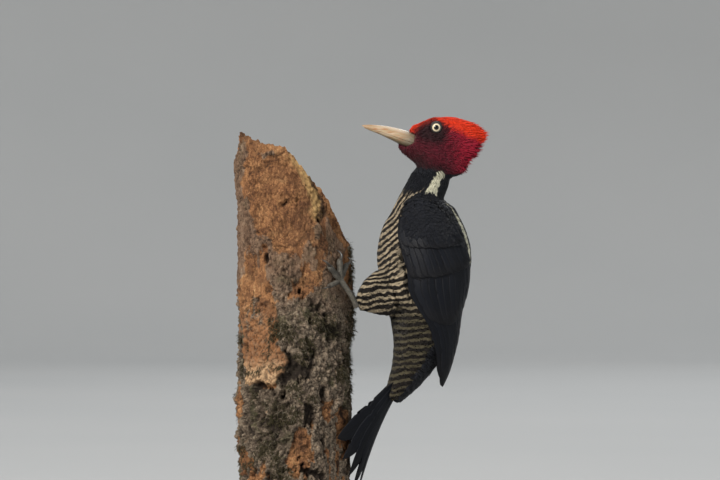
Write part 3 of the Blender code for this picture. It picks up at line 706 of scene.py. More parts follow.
def head_colour(points):
    """Scarlet crown over a crimson to maroon face, darker round the eye and under the chin. The bright
    crown is partly painted light from above, and the darker face, throat and chin partly painted shade.
    """
    x, _, z = points.T
    above_crown = z - np.interp(x, *zip(*CROWN))
    streaks = 2.0 * lumps(points * (0.35, 1.0, 1.0), 2.2, 5.0)
    # From a crimson rear to a maroon front the face darkens, partly as painted shade.
    colour = blend(MAROON, CRIMSON, ease(x + 0.25 * (z - 360) + 2 * streaks, 80, 106))
    # Darker throat and chin: partly painted shade under the head.
    colour = blend(colour, SHADED_THROAT, ease(x + streaks, 76, 60) * ease(z, 370, 354))
    colour = blend(colour, SCARLET, ease(above_crown + streaks, -5.0, 3.0))
    # Near-black near the hood's edge under the chin: painted shade.
    low = ease(above_hood_edge(points) + streaks, 11, 1) * ease(x, 92, 80)
    colour = blend(colour, SHADE_UNDER_CHIN, 0.8 * low)
    _, behind = beside_bill(points)
    bristles = 0.75 * ease(behind + 0.5 * streaks, 3.2, 0.8) * (x < 62) * ease(z, 366, 369)
    colour = blend(colour, BILL_EDGE, bristles)
    # The shade round the eye reaches further towards the bill than behind it.
    from_eye = np.hypot((x - 74.5) / np.where(x < 74.5, 19.0, 14.0), (z - 379.5) / 13.0)
    shade = 0.92 * ease(from_eye + 0.05 * streaks, 1.2, 0.5)
    return blend(colour, EYE_SHADE, shade * ease(above_crown + 0.5 * streaks, 4.0, 1.0))


def line_on_body(points, path, ragged):
    """1 along a path round the body: height, degrees from the spine and half width in mm."""
    middle, half = along(path, points[:, 2], 1, 2)
    _, depth, width = body_at(points[:, 2])
    off = np.abs(round_body(points) - middle) * math.pi / 180 * (depth + width) / 2
    return ease(off + ragged, half + 0.3, half - 0.3)


def stripe(points):
    """1 on the white stripe down each side of the neck, and on the thin V that goes on down the back."""
    z, jagged = points[:, 2], lumps(points, 3.0, 6.6)
    rear = ease(round_body(points), 68, 56)
    neck = line_on_body(points, NECK_STRIPE, jagged * (0.3 + 3.4 * rear))
    neck *= ease(z - 1.6 * np.cos(np.radians(4 * (round_body(points) - 72))), 323.8, 325.2)
    down_back = line_on_body(points, BACK_STRIPE, jagged * 0.5) * between(z, 245, 248, 313, 319)
    return np.maximum(neck, down_back) * (1 - hood(points))


def on_thigh(points):
    """1 on the thighs and 0 on the trunk."""
    start, end = THIGH_LINE
    mirrored = np.stack([points[:, 0], np.abs(points[:, 1]), points[:, 2]], 1)
    t = np.clip((mirrored - start) @ (end - start) / ((end - start) @ (end - start)), 0, 1)
    gap = np.linalg.norm(mirrored - start - t[:, None] * (end - start), axis=1)
    return ease(gap - 20.5 * (1 - t) ** 0.6 - 4, 2.0, -2.0) * ease(points[:, 0], 42, 34)


def bars(points):
    """The phase of the bars, in periods: they climb towards the wing, and lie level on the thigh."""
    x, _, z = points.T
    slope = 0.10 + 0.62 * ease(z, 244, 264) + 1.0 * ease(z, 288, 316)
    wave = 2.2 * lumps(points, 13.0, 4.4) + 1.2 * lumps(points, 4.5, 8.8)
    return (z - slope * (x - 40.0) + wave) / BAR_PERIOD


def barred(points):
    """1 where the plumage is barred: breast, flank, belly and thigh."""
    front = np.interp(points[:, 2], *zip(*BARRED_FROM))
    below_neck = ease(points[:, 2] + 0.16 * (points[:, 0] - 45) + 2.5 * lumps(points, 7.0, 2.0), 331, 321)
    return np.maximum(ease(round_body(points), front - 3, front + 2), on_thigh(points)) * below_neck


def markings(points):
    """Colour without bars, and the share of bars laid over it, for points in mm."""
    colour = blend(np.tile(BLACK, (len(points), 1)), WHITE, stripe(points))
    amount = barred(points) * (1 - stripe(points))
    front, = along(WING, points[:, 2], 1)
    edge = ease(np.abs(round_body(points) - front - 2), 5.0, 1.5) * ease(points[:, 2], 250, 258)
    edge *= ease(points[:, 2], 284, 276) * (1 - on_thigh(points))
    colour = blend(colour, PLAIN_FLANK, edge * amount)
    # A thin pale line along the wing's upper front edge, where the bars stop: a painted highlight on the
    # feather edges.
    edge_highlight = line_on_body(points, SHOULDER_HIGHLIGHT, 0.4 * lumps(points, 3.0, 6.6))
    edge_highlight *= between(points[:, 2], 296, 304, 328, 330)
    colour, amount = blend(colour, EDGE_HIGHLIGHT, edge_highlight), amount * (1 - edge_highlight)
    colour = blend(colour, head_colour(points), hood(points))
    return colour, amount * (1 - 0.75 * edge)


def belly_shadow_and_dull_thigh(points):
    """1 where the pale bars are darkened to dull brown: low on the belly as painted shadow under the bird,
    and partly on the thigh, whose buff is duller.
    """
    low = ease(points[:, 2] + 4 * lumps(points, 9.0, 3.3), 246, 216)
    return np.maximum(low * (1 - on_thigh(points)), 0.30 * on_thigh(points))


def paint(mesh, colour, amount, shade, spots):
    """Stores the markings: colour, share of bars and how dark their pale bars are (painted shadow on the
    lower belly), and their phase at each vertex.
    """
    store(mesh, "plumage", colour, "FLOAT_COLOR")
    store(mesh, "barring", np.stack([bars(spots), amount, shade], 1), "FLOAT_VECTOR")


def vertices(mesh):
    """The places of a mesh's vertices, in metres."""
    points = np.empty(len(mesh.vertices) * 3)
    mesh.vertices.foreach_get("co", points)
    return points.reshape(-1, 3)


def normals(mesh):
    found = np.empty(len(mesh.vertices) * 3, np.float32)
    mesh.vertex_normals.foreach_get("vector", found)
    return found.reshape(-1, 3).astype(float)


def flattened(thing):
    """The object as its modifiers make it, as a plain mesh. The modifiers are removed."""
    graph = bpy.context.evaluated_depsgraph_get()
    mesh = bpy.data.meshes.new_from_object(thing.evaluated_get(graph))
    thing.modifiers.clear()
    return mesh


def corner_vertices(mesh):
    """The vertex of each face corner."""
    corners = np.empty(len(mesh.loops), np.int32)
    mesh.loops.foreach_get("vertex_index", corners)
    return corners


def unwrap(mesh, name, spots):
    """Gives a mesh a UV map from one place for each face corner."""
    mesh.uv_layers.new(name=name).data.foreach_set("uv", np.ravel(spots))


def swollen(source):
    """A merged copy of a CAD node's mesh, a little larger all round."""
    mesh = source.data.copy()
    bm = bmesh.new()
    bm.from_mesh(mesh)
    bmesh.ops.remove_doubles(bm, verts=bm.verts, dist=1e-6)
    bmesh.ops.recalc_face_normals(bm, faces=bm.faces)
    bm.normal_update()
    for vert in bm.verts:
        vert.co += vert.normal * SKIN_SWELL * MM
    bm.to_mesh(mesh)
    bm.free()
    return mesh


def wing_arm(sign):
    """The flesh of a folded wing: a closed flat loft that sinks a little into the flank."""
    rings = []
    across = np.linspace(0.05, 0.95, 14)
    for height in np.linspace(*ARM, 26):
        taper = math.sin(math.pi * (0.06 + 0.88 * (ARM[0] - height) / (ARM[0] - ARM[1]))) ** 0.4
        inner = wing_point(height, across, -2.6)
        outer = wing_point(height, across, wing_thickness(height, across) * taper)
        rings.append((np.vstack([inner, outer[::-1]]) * (1, sign, 1)).tolist())
    return loft(rings)


def flank(sign):
    """A soft roll of flesh that fills the crease between the thigh and the wing's front edge."""
    rings = []
    for share in np.linspace(0.01, 0.99, 14):
        height = FLANK_TOP - FLANK_LENGTH * share
        middle = wing_point(np.array(height), 0.0, -4.6)
        out = FLANK_RADIUS * math.sin(math.pi * share) ** 0.6
        a = np.linspace(0, math.tau, 16, endpoint=False)
        rings.append(np.stack([middle[0] - 3.5 + 2.1 * out * np.cos(a),
                               sign * (middle[1] + out * np.sin(a)), height + 0 * a], 1).tolist())
    return loft(rings)


def ball(centre, radii, rows, sides, bulge=0.0):
    """An ellipsoid round an axis along Y. Its end away from the head swells by a low bulge."""
    side = math.copysign(1.0, centre[1])
    rings, a = [], np.linspace(0, math.tau, sides, endpoint=False)
    for latitude in np.linspace(0.02, math.pi - 0.02, rows):
        swell = bulge * float(ease(math.sin(latitude) * radii[0], 4.0, 0.0)) * (latitude < 1.5)
        out, deep, up = np.array(radii) + swell
        rings.append(np.stack([centre[0] + out * math.sin(latitude) * np.cos(a),
                               centre[1] + side * deep * math.cos(latitude) + 0 * a,
                               centre[2] + up * math.sin(latitude) * np.sin(a)], 1).tolist())
    return loft(rings)


def orbit(sign):
    """Flesh round the eyeball, which fills the socket and carries the lids."""
    return ball(np.array(ORBIT) * (1, sign, 1), ORBIT_RADII, 18, 28)


flesh = bmesh.new()
extra = [shape(sign) for shape in (wing_arm, flank, orbit) for sign in (1, -1)]
for source in [swollen(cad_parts[name]) for name in FLESH] + extra:
    flesh.from_mesh(source)
flesh_mesh = bpy.data.meshes.new("flesh")
flesh.to_mesh(flesh_mesh)
flesh.free()
skin = in_scene("skin", flesh_mesh)
remesh = skin.modifiers.new("one surface", "REMESH")
remesh.mode, remesh.voxel_size = "VOXEL", SKIN_VOXEL * MM
soften = skin.modifiers.new("soften", "SMOOTH")
soften.factor, soften.iterations = 0.5, 14
skin_mesh = flattened(skin)

points, outer_normals = vertices(skin_mesh) / MM, normals(skin_mesh)
x, _, z = points.T
head_share = ease(z, 340, 350)
depth = COAT_DEPTH - 0.7 * head_share + 0.6 * on_thigh(points)
depth -= 0.5 * ease(wing_share(points), -0.05, 0.05) * ease(z, 236, 242) * (1 - head_share)
face = ease(np.linalg.norm(np.abs(points) - EYE, axis=1), 15, 8)
depth -= np.maximum(0.98 * face, 0.75 * ease(x, 60, 48) * head_share)
points -= outer_normals * depth[:, None]
# The crest is all feather at its end, so the skin stops well inside it.
keel = ease(points[:, 0], 94, 122) * head_share
points[:, 0] -= 12.0 * keel
points[:, 2] += (376 - points[:, 2]) * 0.14 * keel
# Beside the bill's root it draws in under the horn.
bill_wide, behind = beside_bill(points)
drawn = np.minimum(np.abs(points[:, 1]), np.maximum(bill_wide - 0.7, 0.5))
points[:, 1] += (drawn * np.sign(points[:, 1]) - points[:, 1]) * ease(behind, 2.2, 0.2)
# Round the eyes it dips under the lids.
from_axis = np.hypot(points[:, 0] - EYE[0], points[:, 2] - EYE[2])
under_lid = EYE[1] + 2.5 + 1.2 * np.maximum(from_axis - 5.1, 0)
points[:, 1] = np.clip(points[:, 1], -under_lid, under_lid)
skin_mesh.vertices.foreach_set("co", (points * MM).ravel())
skin_mesh.update()



def unit(vectors):
    """Each row of an array, made one long."""
    return vectors / np.linalg.norm(vectors, axis=1)[:, None]


# Which way the feathers lie: down the body, forward along the thigh, and back from the bill.
points, surface_normals = vertices(skin_mesh) / MM, normals(skin_mesh)
x, y, z = points.T
spine = np.array(sorted((row[1], row[0]) for row in BODY))
spine_lean = np.gradient(spine[:, 1], spine[:, 0])
down = np.stack([-np.interp(z, spine[:, 0], spine_lean), 0 * z, -np.ones_like(z)], 1)
thigh_way = np.stack([-np.ones_like(x), 0.1 * np.sign(y), -1.15 * np.ones_like(x)], 1)
on_wing = between(wing_share(points), -0.02, 0.04, 0.96, 1.02)
on_wing *= between(z, 234, 238, 324, 328)
away = unit(points - BILL_ROOT)
lie = blend(unit(down), thigh_way / 1.5, on_thigh(points))
lie = blend(lie, (0.22, 0.0, -1.0), on_wing)
# Round the eye they part and close again, like water round a post.
from_lid = points[:, (0, 2)] - EYE[[0, 2]]
gap = np.maximum(np.linalg.norm(from_lid, axis=1), 4.0)[:, None]
from_lid /= gap
heading = away[:, (0, 2)]
parted = heading - 2 * np.sum(heading * from_lid, axis=1)[:, None] * from_lid
share = (np.abs(y) > 4)[:, None] * (4.9 / gap) ** 2
away[:, (0, 2)] = heading + parted * np.minimum(share, 0.72)
lie = blend(lie, away, ease(z, 334, 354))
# They lie flat on the skin, but stream straight back from the end of the crest.
streaming = ease(x, 88, 104) * ease(z, 338, 350)
flat = 1 - 0.92 * streaming
lie = blend(lie, unit(CREST_AIM - points), 0.8 * streaming * ease(z, 356, 374))
lie -= surface_normals * (np.sum(lie * surface_normals, axis=1) * flat)[:, None]
lie /= np.maximum(np.linalg.norm(lie, axis=1), 1e-6)[:, None]
store(skin_mesh, "lie", lie, "FLOAT_VECTOR")
store(skin_mesh, "hold", 1 - 0.95 * ease(x, 84, 103) * ease(z, 338, 350))
store(skin_mesh, "smooth_normal", surface_normals, "FLOAT_VECTOR")
paint(skin_mesh, *markings(points), belly_shadow_and_dull_thigh(points), points)


def plumage_colour(finish, shift=0.0):
    """The stored markings: the plain colour, with bars of buff and dark brown where they belong."""
    phase, share, shade = xyz(finish.read("barring", "Vector"))
    ripple = finish.noise(finish.place(), 2.2, 2.0) - 0.5
    wave = ((phase + ripple * 0.22 + shift) * math.tau).math("SINE")
    # The pale bars darken to dull brown by the stored share: painted shadow low on the belly, duller buff
    # on the thigh.
    pale = finish.mix(PALE_BAR, DULL_BAR, shade)
    stripes = finish.mix(DARK_BAR, pale, (wave + ripple * 0.8).clamp(-0.05, 0.45))
    return finish.mix(finish.read("plumage", "Color"), stripes, share)


def hide_under_feathers():
    hide = Finish("skin_under_plumage", 0.75, Specular_IOR_Level=0.2)
    pores = hide.noise(hide.place(), 0.6, 3.0)
    # The markings are darkened on the skin as painted shade, for the gaps between the feathers.
    colour = hide.tint(plumage_colour(hide), (0.55, 0.55, 0.55))
    return hide.finish(colour, None, pores, 0.15)


skin.data = skin_mesh
skin_mesh.materials.clear()
skin_mesh.materials.append(hide_under_feathers())
skin_mesh.shade_smooth()
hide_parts(*FLESH)
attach(skin, "root")

# ---- Coat
# Contour feathers all over the skin, as thin closed vanes that lie down the body and overlap like
# tiles: hair-thin silky ones on the face, hood and crest, rounded ones with frayed tips on neck, body
# and thighs. They are scattered over the skin at an even spacing and laid on it.

FEATHER_PATCH = 0.003  # size of one feather's patch in the OFBake map
SIZE_VARIES = 0.14
COVER_LEAST = 0.08  # where the cover is thinner than this, nothing grows
LID_CLEAR = (4.8, 5.3)  # mm from the eye's axis within which no feather lies
KEPT_ON_FEATHERS = ("Vane", "OFBake", "pick", "position", "material_index", "sharp_face")


def skin_map(mesh):
    """Unrolls head, body and thighs, each round its own axis, side by side into one map."""
    sizes, middle = np.empty(len(mesh.polygons), np.int32), np.empty(len(mesh.polygons) * 3)
    mesh.polygons.foreach_get("loop_total", sizes)
    mesh.polygons.foreach_get("center", middle)
    middle = middle.reshape(-1, 3) / MM
    owner = np.repeat(np.arange(len(sizes)), sizes)
    head, thigh = (middle[:, 2] > 345)[owner], (on_thigh(middle) > 0.5)[owner]
    x, y, z = (vertices(mesh)[corner_vertices(mesh)] / MM).T
    side = np.sign(middle[owner, 1])
    body = ~head & ~thigh
    turn = np.where(head, np.arctan2(y, z - 366), np.arctan2(np.abs(y) - 22, z - 236))
    turn = np.where(body, np.arctan2(y, x - body_at(z)[0]), turn)
    roll = np.where(head, (x - 40) / 90, np.where(thigh, (52 - x) / 50, (350 - z) / 215))
    # A face that crosses the back of the roll stays whole.
    turn = np.where((np.abs(turn) > 2.6) & (turn * side < 0) & ~thigh, side * math.pi, turn)
    share = 0.5 + turn / math.tau
    column = np.where(thigh, np.where(side > 0, 0.5, 0.75), 0.0)
    width = np.where(head, 0.5, np.where(thigh, 0.25, 1.0))
    base, tall = np.where(body, 0.0, 0.72), np.where(body, 0.70, 0.26)
    spots = [column + width * (0.01 + 0.98 * share), base + tall * np.clip(roll, 0, 1)]
    unwrap(mesh, "SkinMap", np.stack(spots, 1))


def vane(name, length, width, outline, rows, columns, fray, arch, rise):
    """One feather in mm, pointing along +Y: a thin closed shell, arched across, its tip split in points.

    outline is its half width from root to tip as shares of the widest, and rise is how high its
    root, middle and tip stand over the skin.
    """
    shares = np.linspace(0, 1, rows + 1)
    across = np.linspace(-1, 1, columns + 1)
    half = width / 2 * np.interp(shares, np.linspace(0, 1, len(outline)), outline)
    lifts = np.interp(shares, (0.0, 0.5, 1.0), rise)
    points, lengthways = [], []
    for i, share in enumerate(shares):
        for j, side in enumerate(across):
            reach = share * length * (1 - 0.10 * side * side * share)
            if i == rows:
                reach -= fray * length * ((j % 2) * 0.7 + 0.3 * math.sin(2.3 * j + 1))
            crown = arch * half[i] * (1 - side * side)
            points.append((half[i] * side, reach, lifts[i] + crown))
            lengthways.append(reach / length)
    faces = []
    per_row = columns + 1
    for i in range(rows):
        for j in range(columns):
            a = i * per_row + j
            faces.append((a, a + 1, a + per_row + 1, a + per_row))
        left, right = i * per_row, i * per_row + columns
        faces.append((left, left + per_row, right + per_row, right))
    faces.append(tuple(range(per_row)))
    faces.append(tuple(range(rows * per_row, (rows + 1) * per_row))[::-1])
    mesh = new_mesh(name, points, faces)
    spots = np.stack([0.5 + 0.5 * np.tile(across, rows + 1), lengthways], 1)
    unwrap(mesh, "Vane", spots[corner_vertices(mesh)])
    if sum(p.normal.z * p.area for p in mesh.polygons if len(p.vertices) == 4) < 0 and columns < 2:
        mesh.flip_normals()
    store(mesh, "rise", [p[2] * MM for p in points])
    mesh.shade_smooth()
    thing = in_scene(name, mesh)
    thing.hide_render = True
    return thing


def coat_tree():
    """Geometry nodes that scatter one feather over a skin and lay each copy down on it."""
    tree = bpy.data.node_groups.new("feather coat", "GeometryNodeTree")
    given = {"Skin": "Geometry", "Feather": "Object", "Cover": "String", "Spacing": "Float",
             "Length": "Float", "Spread": "Vector", "Vary": "Float", "Cling": "Float", "Seed": "Int",
             "Finish": "Material"}
    for name, kind in given.items():
        tree.interface.new_socket(name, in_out="INPUT", socket_type="NodeSocket" + kind)
    tree.interface.new_socket("Coat", in_out="OUTPUT", socket_type="NodeSocketGeometry")
    sockets = split(add(tree, "NodeGroupInput"))[:len(given)]
    skin_in, feather, cover, spacing, length, spread, vary, cling, seed, finish = sockets

    def attribute(name, kind="FLOAT_VECTOR"):
        return add(tree, "GeometryNodeInputNamedAttribute", {"data_type": kind}, {"Name": name})

    def vector(operation, first, second, slot=1):
        return add(tree, "ShaderNodeVectorMath", {"operation": operation}, {0: first, slot: second})

    def keep(geometry, name, value, kind="FLOAT_VECTOR", domain="POINT"):
        settings = {"data_type": kind, "domain": domain}
        inputs = {"Geometry": geometry, "Name": name, "Value": value}
        return add(tree, "GeometryNodeStoreNamedAttribute", settings, inputs)

    def chance(low, high, offset, kind="FLOAT"):
        first = 0 if kind == "FLOAT_VECTOR" else 2
        inputs = {first: low, first + 1: high, 8: seed + offset}
        return add(tree, "FunctionNodeRandomValue", {"data_type": kind}, inputs, 0 if first == 0 else 1)

    place = add(tree, "GeometryNodeInputPosition")
    scattered = add(tree, "GeometryNodeDistributePointsOnFaces", {"distribute_method": "POISSON"}, {
        "Mesh": skin_in, "Distance Min": spacing, "Density Max": 3.0 / (spacing * spacing),
        "Density Factor": attribute(cover, "FLOAT"), "Seed": seed})
    size = attribute("feather_size", "FLOAT") * chance(1.0 - vary, 1.0 + vary, 1)
    lie = attribute("lie")
    spots = keep(scattered, "aim", vector("ADD", place, vector("SCALE", lie, length * size * 0.6, 3)))
    spots = keep(spots, "patch", attribute("SkinMap"))
    spots = keep(spots, "pick", chance(0.0, 1.0, 2), "FLOAT")
    spots = keep(spots, "grown", size, "FLOAT")
    spots = keep(spots, "held", attribute("hold", "FLOAT") * cling, "FLOAT")
    laid = add(tree, "FunctionNodeAlignRotationToVector", {"axis": "Y"}, {"Vector": lie})
    laid = add(tree, "FunctionNodeAlignRotationToVector", {"axis": "Z", "pivot_axis": "Y"},
               {"Rotation": laid, "Vector": attribute("smooth_normal")})
    lean = chance(vector("SCALE", spread, -1.0, 3), spread, 3, "FLOAT_VECTOR")
    lean = add(tree, "FunctionNodeEulerToRotation", {}, {0: lean})
    laid = add(tree, "FunctionNodeRotateRotation", {"rotation_space": "LOCAL"}, {0: laid, 1: lean})
    shape = add(tree, "GeometryNodeObjectInfo", {}, {"Object": feather, "As Instance": True}, "Geometry")
    coat = add(tree, "GeometryNodeInstanceOnPoints", {}, {
        "Points": spots, "Instance": shape, "Rotation": laid, "Scale": size})
    coat = add(tree, "GeometryNodeRealizeInstances", {}, {0: coat})

    def nearest(value):
        inputs = {"Mesh": skin_in, "Value": value, "Sample Position": place}
        return add(tree, "GeometryNodeSampleNearestSurface", {"data_type": "FLOAT_VECTOR"}, inputs)

    rise = attribute("rise", "FLOAT") * attribute("grown", "FLOAT")
    lying = vector("ADD", nearest(place), vector("SCALE", nearest(attribute("smooth_normal")), rise, 3))
    settled = add(tree, "ShaderNodeMix", {"data_type": "VECTOR"},
                  {0: attribute("held", "FLOAT"), 4: place, 5: lying}, 1)
    coat = add(tree, "GeometryNodeSetPosition", {}, {0: coat, "Position": settled})
    local = vector("SCALE", attribute("Vane"), FEATHER_PATCH, 3)
    coat = keep(coat, "OFBake", vector("ADD", attribute("patch"), local), "FLOAT2", "CORNER")
    coat = add(tree, "GeometryNodeSetMaterial", {}, {0: coat, "Material": finish})
    tree.links.new(coat.socket, tree.nodes.new("NodeGroupOutput").inputs[0])
    return tree


def plumage(name, roughness, sheen, gloss, painted_light=0.0):
    """Feathers: the stored markings, fine barbs slanting off a shaft, and roots darkened as painted shade.
    """
    feathers = Finish(name, roughness, Sheen_Weight=sheen, Sheen_Roughness=0.4, Specular_IOR_Level=gloss)
    across, lengthways, _ = xyz(feathers.read("Vane", "Vector"))
    pick = feathers.read("pick")
    side = (across - 0.5).math("ABSOLUTE")
    barbs = ((lengthways * 46.0 - side * 26.0 + pick * 9.0) * math.tau).math("SINE")
    shaft = 1.0 - side.clamp(0.015, 0.055)
    # Each feather is darker at its root and lighter to its tip, as painted shade where the feather above
    # covers it, with random tone, barbs and a shaft; a plumage may also be lightened all over as painted
    # light.
    shade = 0.70 + painted_light + lengthways * 0.38 + (pick - 0.5) * 0.30 + barbs * 0.06 + shaft * 0.08
    colour = feathers.shaded(plumage_colour(feathers, (pick - 0.5) * 0.16), shade)
    return feathers.finish(colour, roughness + barbs * 0.05, barbs * 0.5 + shaft, 0.12)


skin_map(skin_mesh)
# Outlines: half width from root to tip, as shares of the widest
SILK = (0.35, 0.9, 1.0, 0.8, 0.1)
PLUME = (0.2, 0.8, 1.0, 0.85, 0.4)
ROUND = (0.16, 0.60, 0.88, 1.0, 1.0, 0.86, 0.46)
LOOSE = (0.16, 0.55, 0.85, 1.0, 1.0, 0.88, 0.52)
# Feather: length, width, outline, rows, columns, fray, arch, rise
VANES = {
    "face_silk": (4.4, 0.80, SILK, 3, 2, 0.0, 0.35, (0.05, 0.55, 0.75)),
    "hood_silk": (8.6, 1.10, SILK, 4, 2, 0.0, 0.32, (0.05, 0.90, 1.35)),
    "crest_silk": (14.5, 1.4, SILK, 7, 2, 0.0, 0.30, (0.0, 0.9, 1.3)),
    "neck_silk": (7.4, 2.3, PLUME, 4, 4, 0.07, 0.20, (0.05, 0.85, 1.35)),
    "breast_vane": (10.0, 5.6, LOOSE, 6, 8, 0.07, 0.13, (0.05, 1.15, 1.75)),
    "body_vane": (11.0, 6.2, LOOSE, 6, 6, 0.07, 0.13, (0.05, 1.20, 1.85)),
    "thigh_vane": (8.6, 4.2, LOOSE, 5, 6, 0.09, 0.15, (0.05, 1.2, 1.9)),
    "scale_vane": (7.0, 5.2, ROUND, 6, 6, 0.03, 0.12, (0.05, 0.85, 1.25)),
}
vanes = {name: vane(name, *shape) for name, shape in VANES.items()}

points = vertices(skin_mesh) / MM
x, y, z = points.T
side_on_wing = wing_share(points)
front = round_body(points)
from_eye = np.hypot(x - EYE[0], z - EYE[2])


def off_lids(length):
    """1 where a feather this long lies clear of the eyelids, and 0 where it would cross them."""
    nearest = from_eye - 0.3
    for reach in (0.35 * length, 0.7 * length, length):
        spot = points + lie * reach
        nearest = np.minimum(nearest, np.hypot(spot[:, 0] - EYE[0], spot[:, 2] - EYE[2]))
    return np.where(np.abs(y) > 5, ease(nearest, *LID_CLEAR), 1.0)


bill_wide, behind_bill = beside_bill(points)
in_bill = (behind_bill < 0.1) & (np.abs(y) < bill_wide + 1.5)
hooded = ease(above_hood_edge(points), -3.0, 1.0) * ~in_bill
wing_cover = between(side_on_wing, -0.01, 0.04, 0.99, 1.03) * ease(z, 234, 237) * ease(z, 327, 324)
wing_cover *= front < 131
face_share = np.maximum(ease(x, 68, 60), ease(from_eye, 12, 8))
trunk_share = (1 - ease(z, 340, 344)) * (1 - on_thigh(points)) * (1 - wing_cover)
behind = ease(front, 92, 84) * ease(side_on_wing, 0.9, 1.0) * ease(z, 326, 322)
behind += ease(front, 70, 62) * ease(z, 236, 228)
crested = ease(x, 72, 84) * ease(z, 344, 352) * (1 - 0.75 * ease(z, 372, 355)) * (np.abs(y) < 13)
covers = {
    "face": hooded * off_lids(4.2) * face_share,
    "hood": hooded * off_lids(7.0) * (1 - 0.85 * face_share),
    "crest": hooded * off_lids(7.0) * crested,
    "neck": ease(z, 316, 322) * (1 - ease(z, 347, 350)) * (1 - wing_cover),
    "breast": trunk_share * ease(z, 262, 264) * ease(z, 325, 320) * (front > 88),
    "belly": trunk_share * ease(z, 264, 262) * (front > 66),
    "back": trunk_share * np.clip(behind, 0, 1) * (front <= 88),
    "thigh": on_thigh(points) * ease(x, 9, 12),
    "shoulder": wing_cover * ease(z, 283, 286),
}
size = 1.0 + 0.20 * ease(z, 250, 210) - 0.22 * ease(z, 300, 340) * (1 - ease(z, 343, 350))
size *= 1 - 0.48 * ease(x, 90, 100) * ease(z, 368, 350) * ease(z, 340, 345) - 0.03 * ease(x, 103, 110)
size *= 1 - 0.30 * face_share * ease(z, 345, 352) * ease(from_eye, 11, 6)
size *= 1 - 0.35 * ease(x, 22, 10) * on_thigh(points)
store(skin_mesh, "feather_size", size)
for name, cover in covers.items():
    store(skin_mesh, f"cover_{name}", np.where(cover < COVER_LEAST, 0, np.clip(cover, 0, 1)))

# The red feathers are lightened all over by 0.14 as painted light, for a crown lit from above.
red = plumage("red_silky_plumage", 0.55, 0.05, 0.16, 0.14)
black = plumage("black_plumage", 0.5, 0.03, 0.16)
soft_barred = plumage("barred_plumage", 0.72, 0.05, 0.12)
# Coat: feather, spacing, how far a feather may lean and turn in degrees, cling, finish, slot
COATS = {
    "face": ("face_silk", 0.53, (5, 8, 12), 0.92, red, "plumage_red"),
    "hood": ("hood_silk", 0.74, (5, 10, 9), 0.90, red, "plumage_red"),
    "crest": ("crest_silk", 0.92, (4, 6, 5), 0.85, red, "plumage_red"),
    "neck": ("neck_silk", 0.98, (4, 6, 9), 0.95, black, "plumage_black"),
    "breast": ("breast_vane", 1.80, (2, 3, 6), 1.0, soft_barred, "plumage_barred"),
    "belly": ("body_vane", 2.00, (2, 3, 7), 1.0, soft_barred, "plumage_barred"),
    "back": ("body_vane", 1.95, (2, 3, 6), 1.0, black, "plumage_black"),
    "thigh": ("thigh_vane", 1.50, (3, 4, 8), 0.92, soft_barred, "plumage_barred"),
    "shoulder": ("scale_vane", 1.95, (2, 3, 6), 1.0, black, "plumage_black"),
}
scatter = coat_tree()


def grow(name, source, cover, feather, spacing, spread, cling, finish, seed):
    """Scatters a feather over a mesh as one object, and gives the place that each one covers, in mm."""
    base = in_scene(name, source)
    layer = base.modifiers.new("coat", "NODES")
    layer.node_group = scatter
    values = {"Feather": feather, "Cover": cover, "Spacing": spacing * MM, "Cling": cling, "Seed": seed,
              "Length": max(v.co.y for v in feather.data.vertices), "Vary": SIZE_VARIES,
              "Spread": [math.radians(d) for d in spread], "Finish": finish}
    for socket in scatter.interface.items_tree:
        if socket.name in values:
            layer[socket.identifier] = values[socket.name]
    mesh = flattened(base)
    aims = np.empty(len(mesh.vertices) * 3)
    mesh.attributes["aim"].data.foreach_get("vector", aims)
    for spare in [found.name for found in mesh.attributes if not found.is_internal]:
        if spare not in KEPT_ON_FEATHERS:
            mesh.attributes.remove(mesh.attributes[spare])
    base.data = mesh
    return base, aims.reshape(-1, 3)[::len(feather.data.vertices)] / MM


for number, (name, coat) in enumerate(COATS.items()):
    shape, spacing, spread, cling, finish, slot = coat
    piece, aims = grow(f"{name}_feathers", skin_mesh, f"cover_{name}", vanes[shape], spacing, spread,
                       cling, finish, 40 + 10 * number)
    each = len(vanes[shape].data.vertices)
    spots = vertices(piece.data) / MM
    colour, amount = markings(aims)
    amount = amount * (name != "shoulder")
    if name == "back":
        # The white lines down the back cross these broad feathers, so each is partly white.
        colour, _ = markings(blend(np.repeat(aims, each, 0), spots, 0.65))
    else:
        colour = np.repeat(colour, each, 0)
    paint(piece.data, colour, np.repeat(amount, each), np.repeat(belly_shadow_and_dull_thigh(aims), each), spots)
    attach(piece, "root")

# ---- Moss
# Shaggy moss and grey lichen on the log's crumbled lower half and on its side towards the bird, clear
# of feet and tail: loose fronds a few millimetres long that hang down the bark in clumps.

MOSS_MAP_HEIGHT = 400.0  # height of the log that its map takes in
MOSS_FROND = (4.4, 0.62, (0.5, 1.0, 0.7, 0.4), 3, 2, 0.25, 0.35, (-0.5, 1.1, 1.5))


def moss_finish():
    moss = Finish("shaggy_moss", 0.9, Specular_IOR_Level=0.12)
    pick = moss.read("pick")
    _, lengthways, _ = xyz(moss.read("Vane", "Vector"))
    patch = moss.noise(moss.place(), 9.0, 3.0)
    colour = moss.mix((0.030, 0.025, 0.015), (0.125, 0.106, 0.056), lengthways * (0.4 + pick * 0.6))
    colour = moss.mix(colour, (0.230, 0.200, 0.145), pick.clamp(0.78, 0.90) * patch.clamp(0.42, 0.58))
    return moss.finish(colour, 0.85 + pick * 0.1, patch, 0.1)


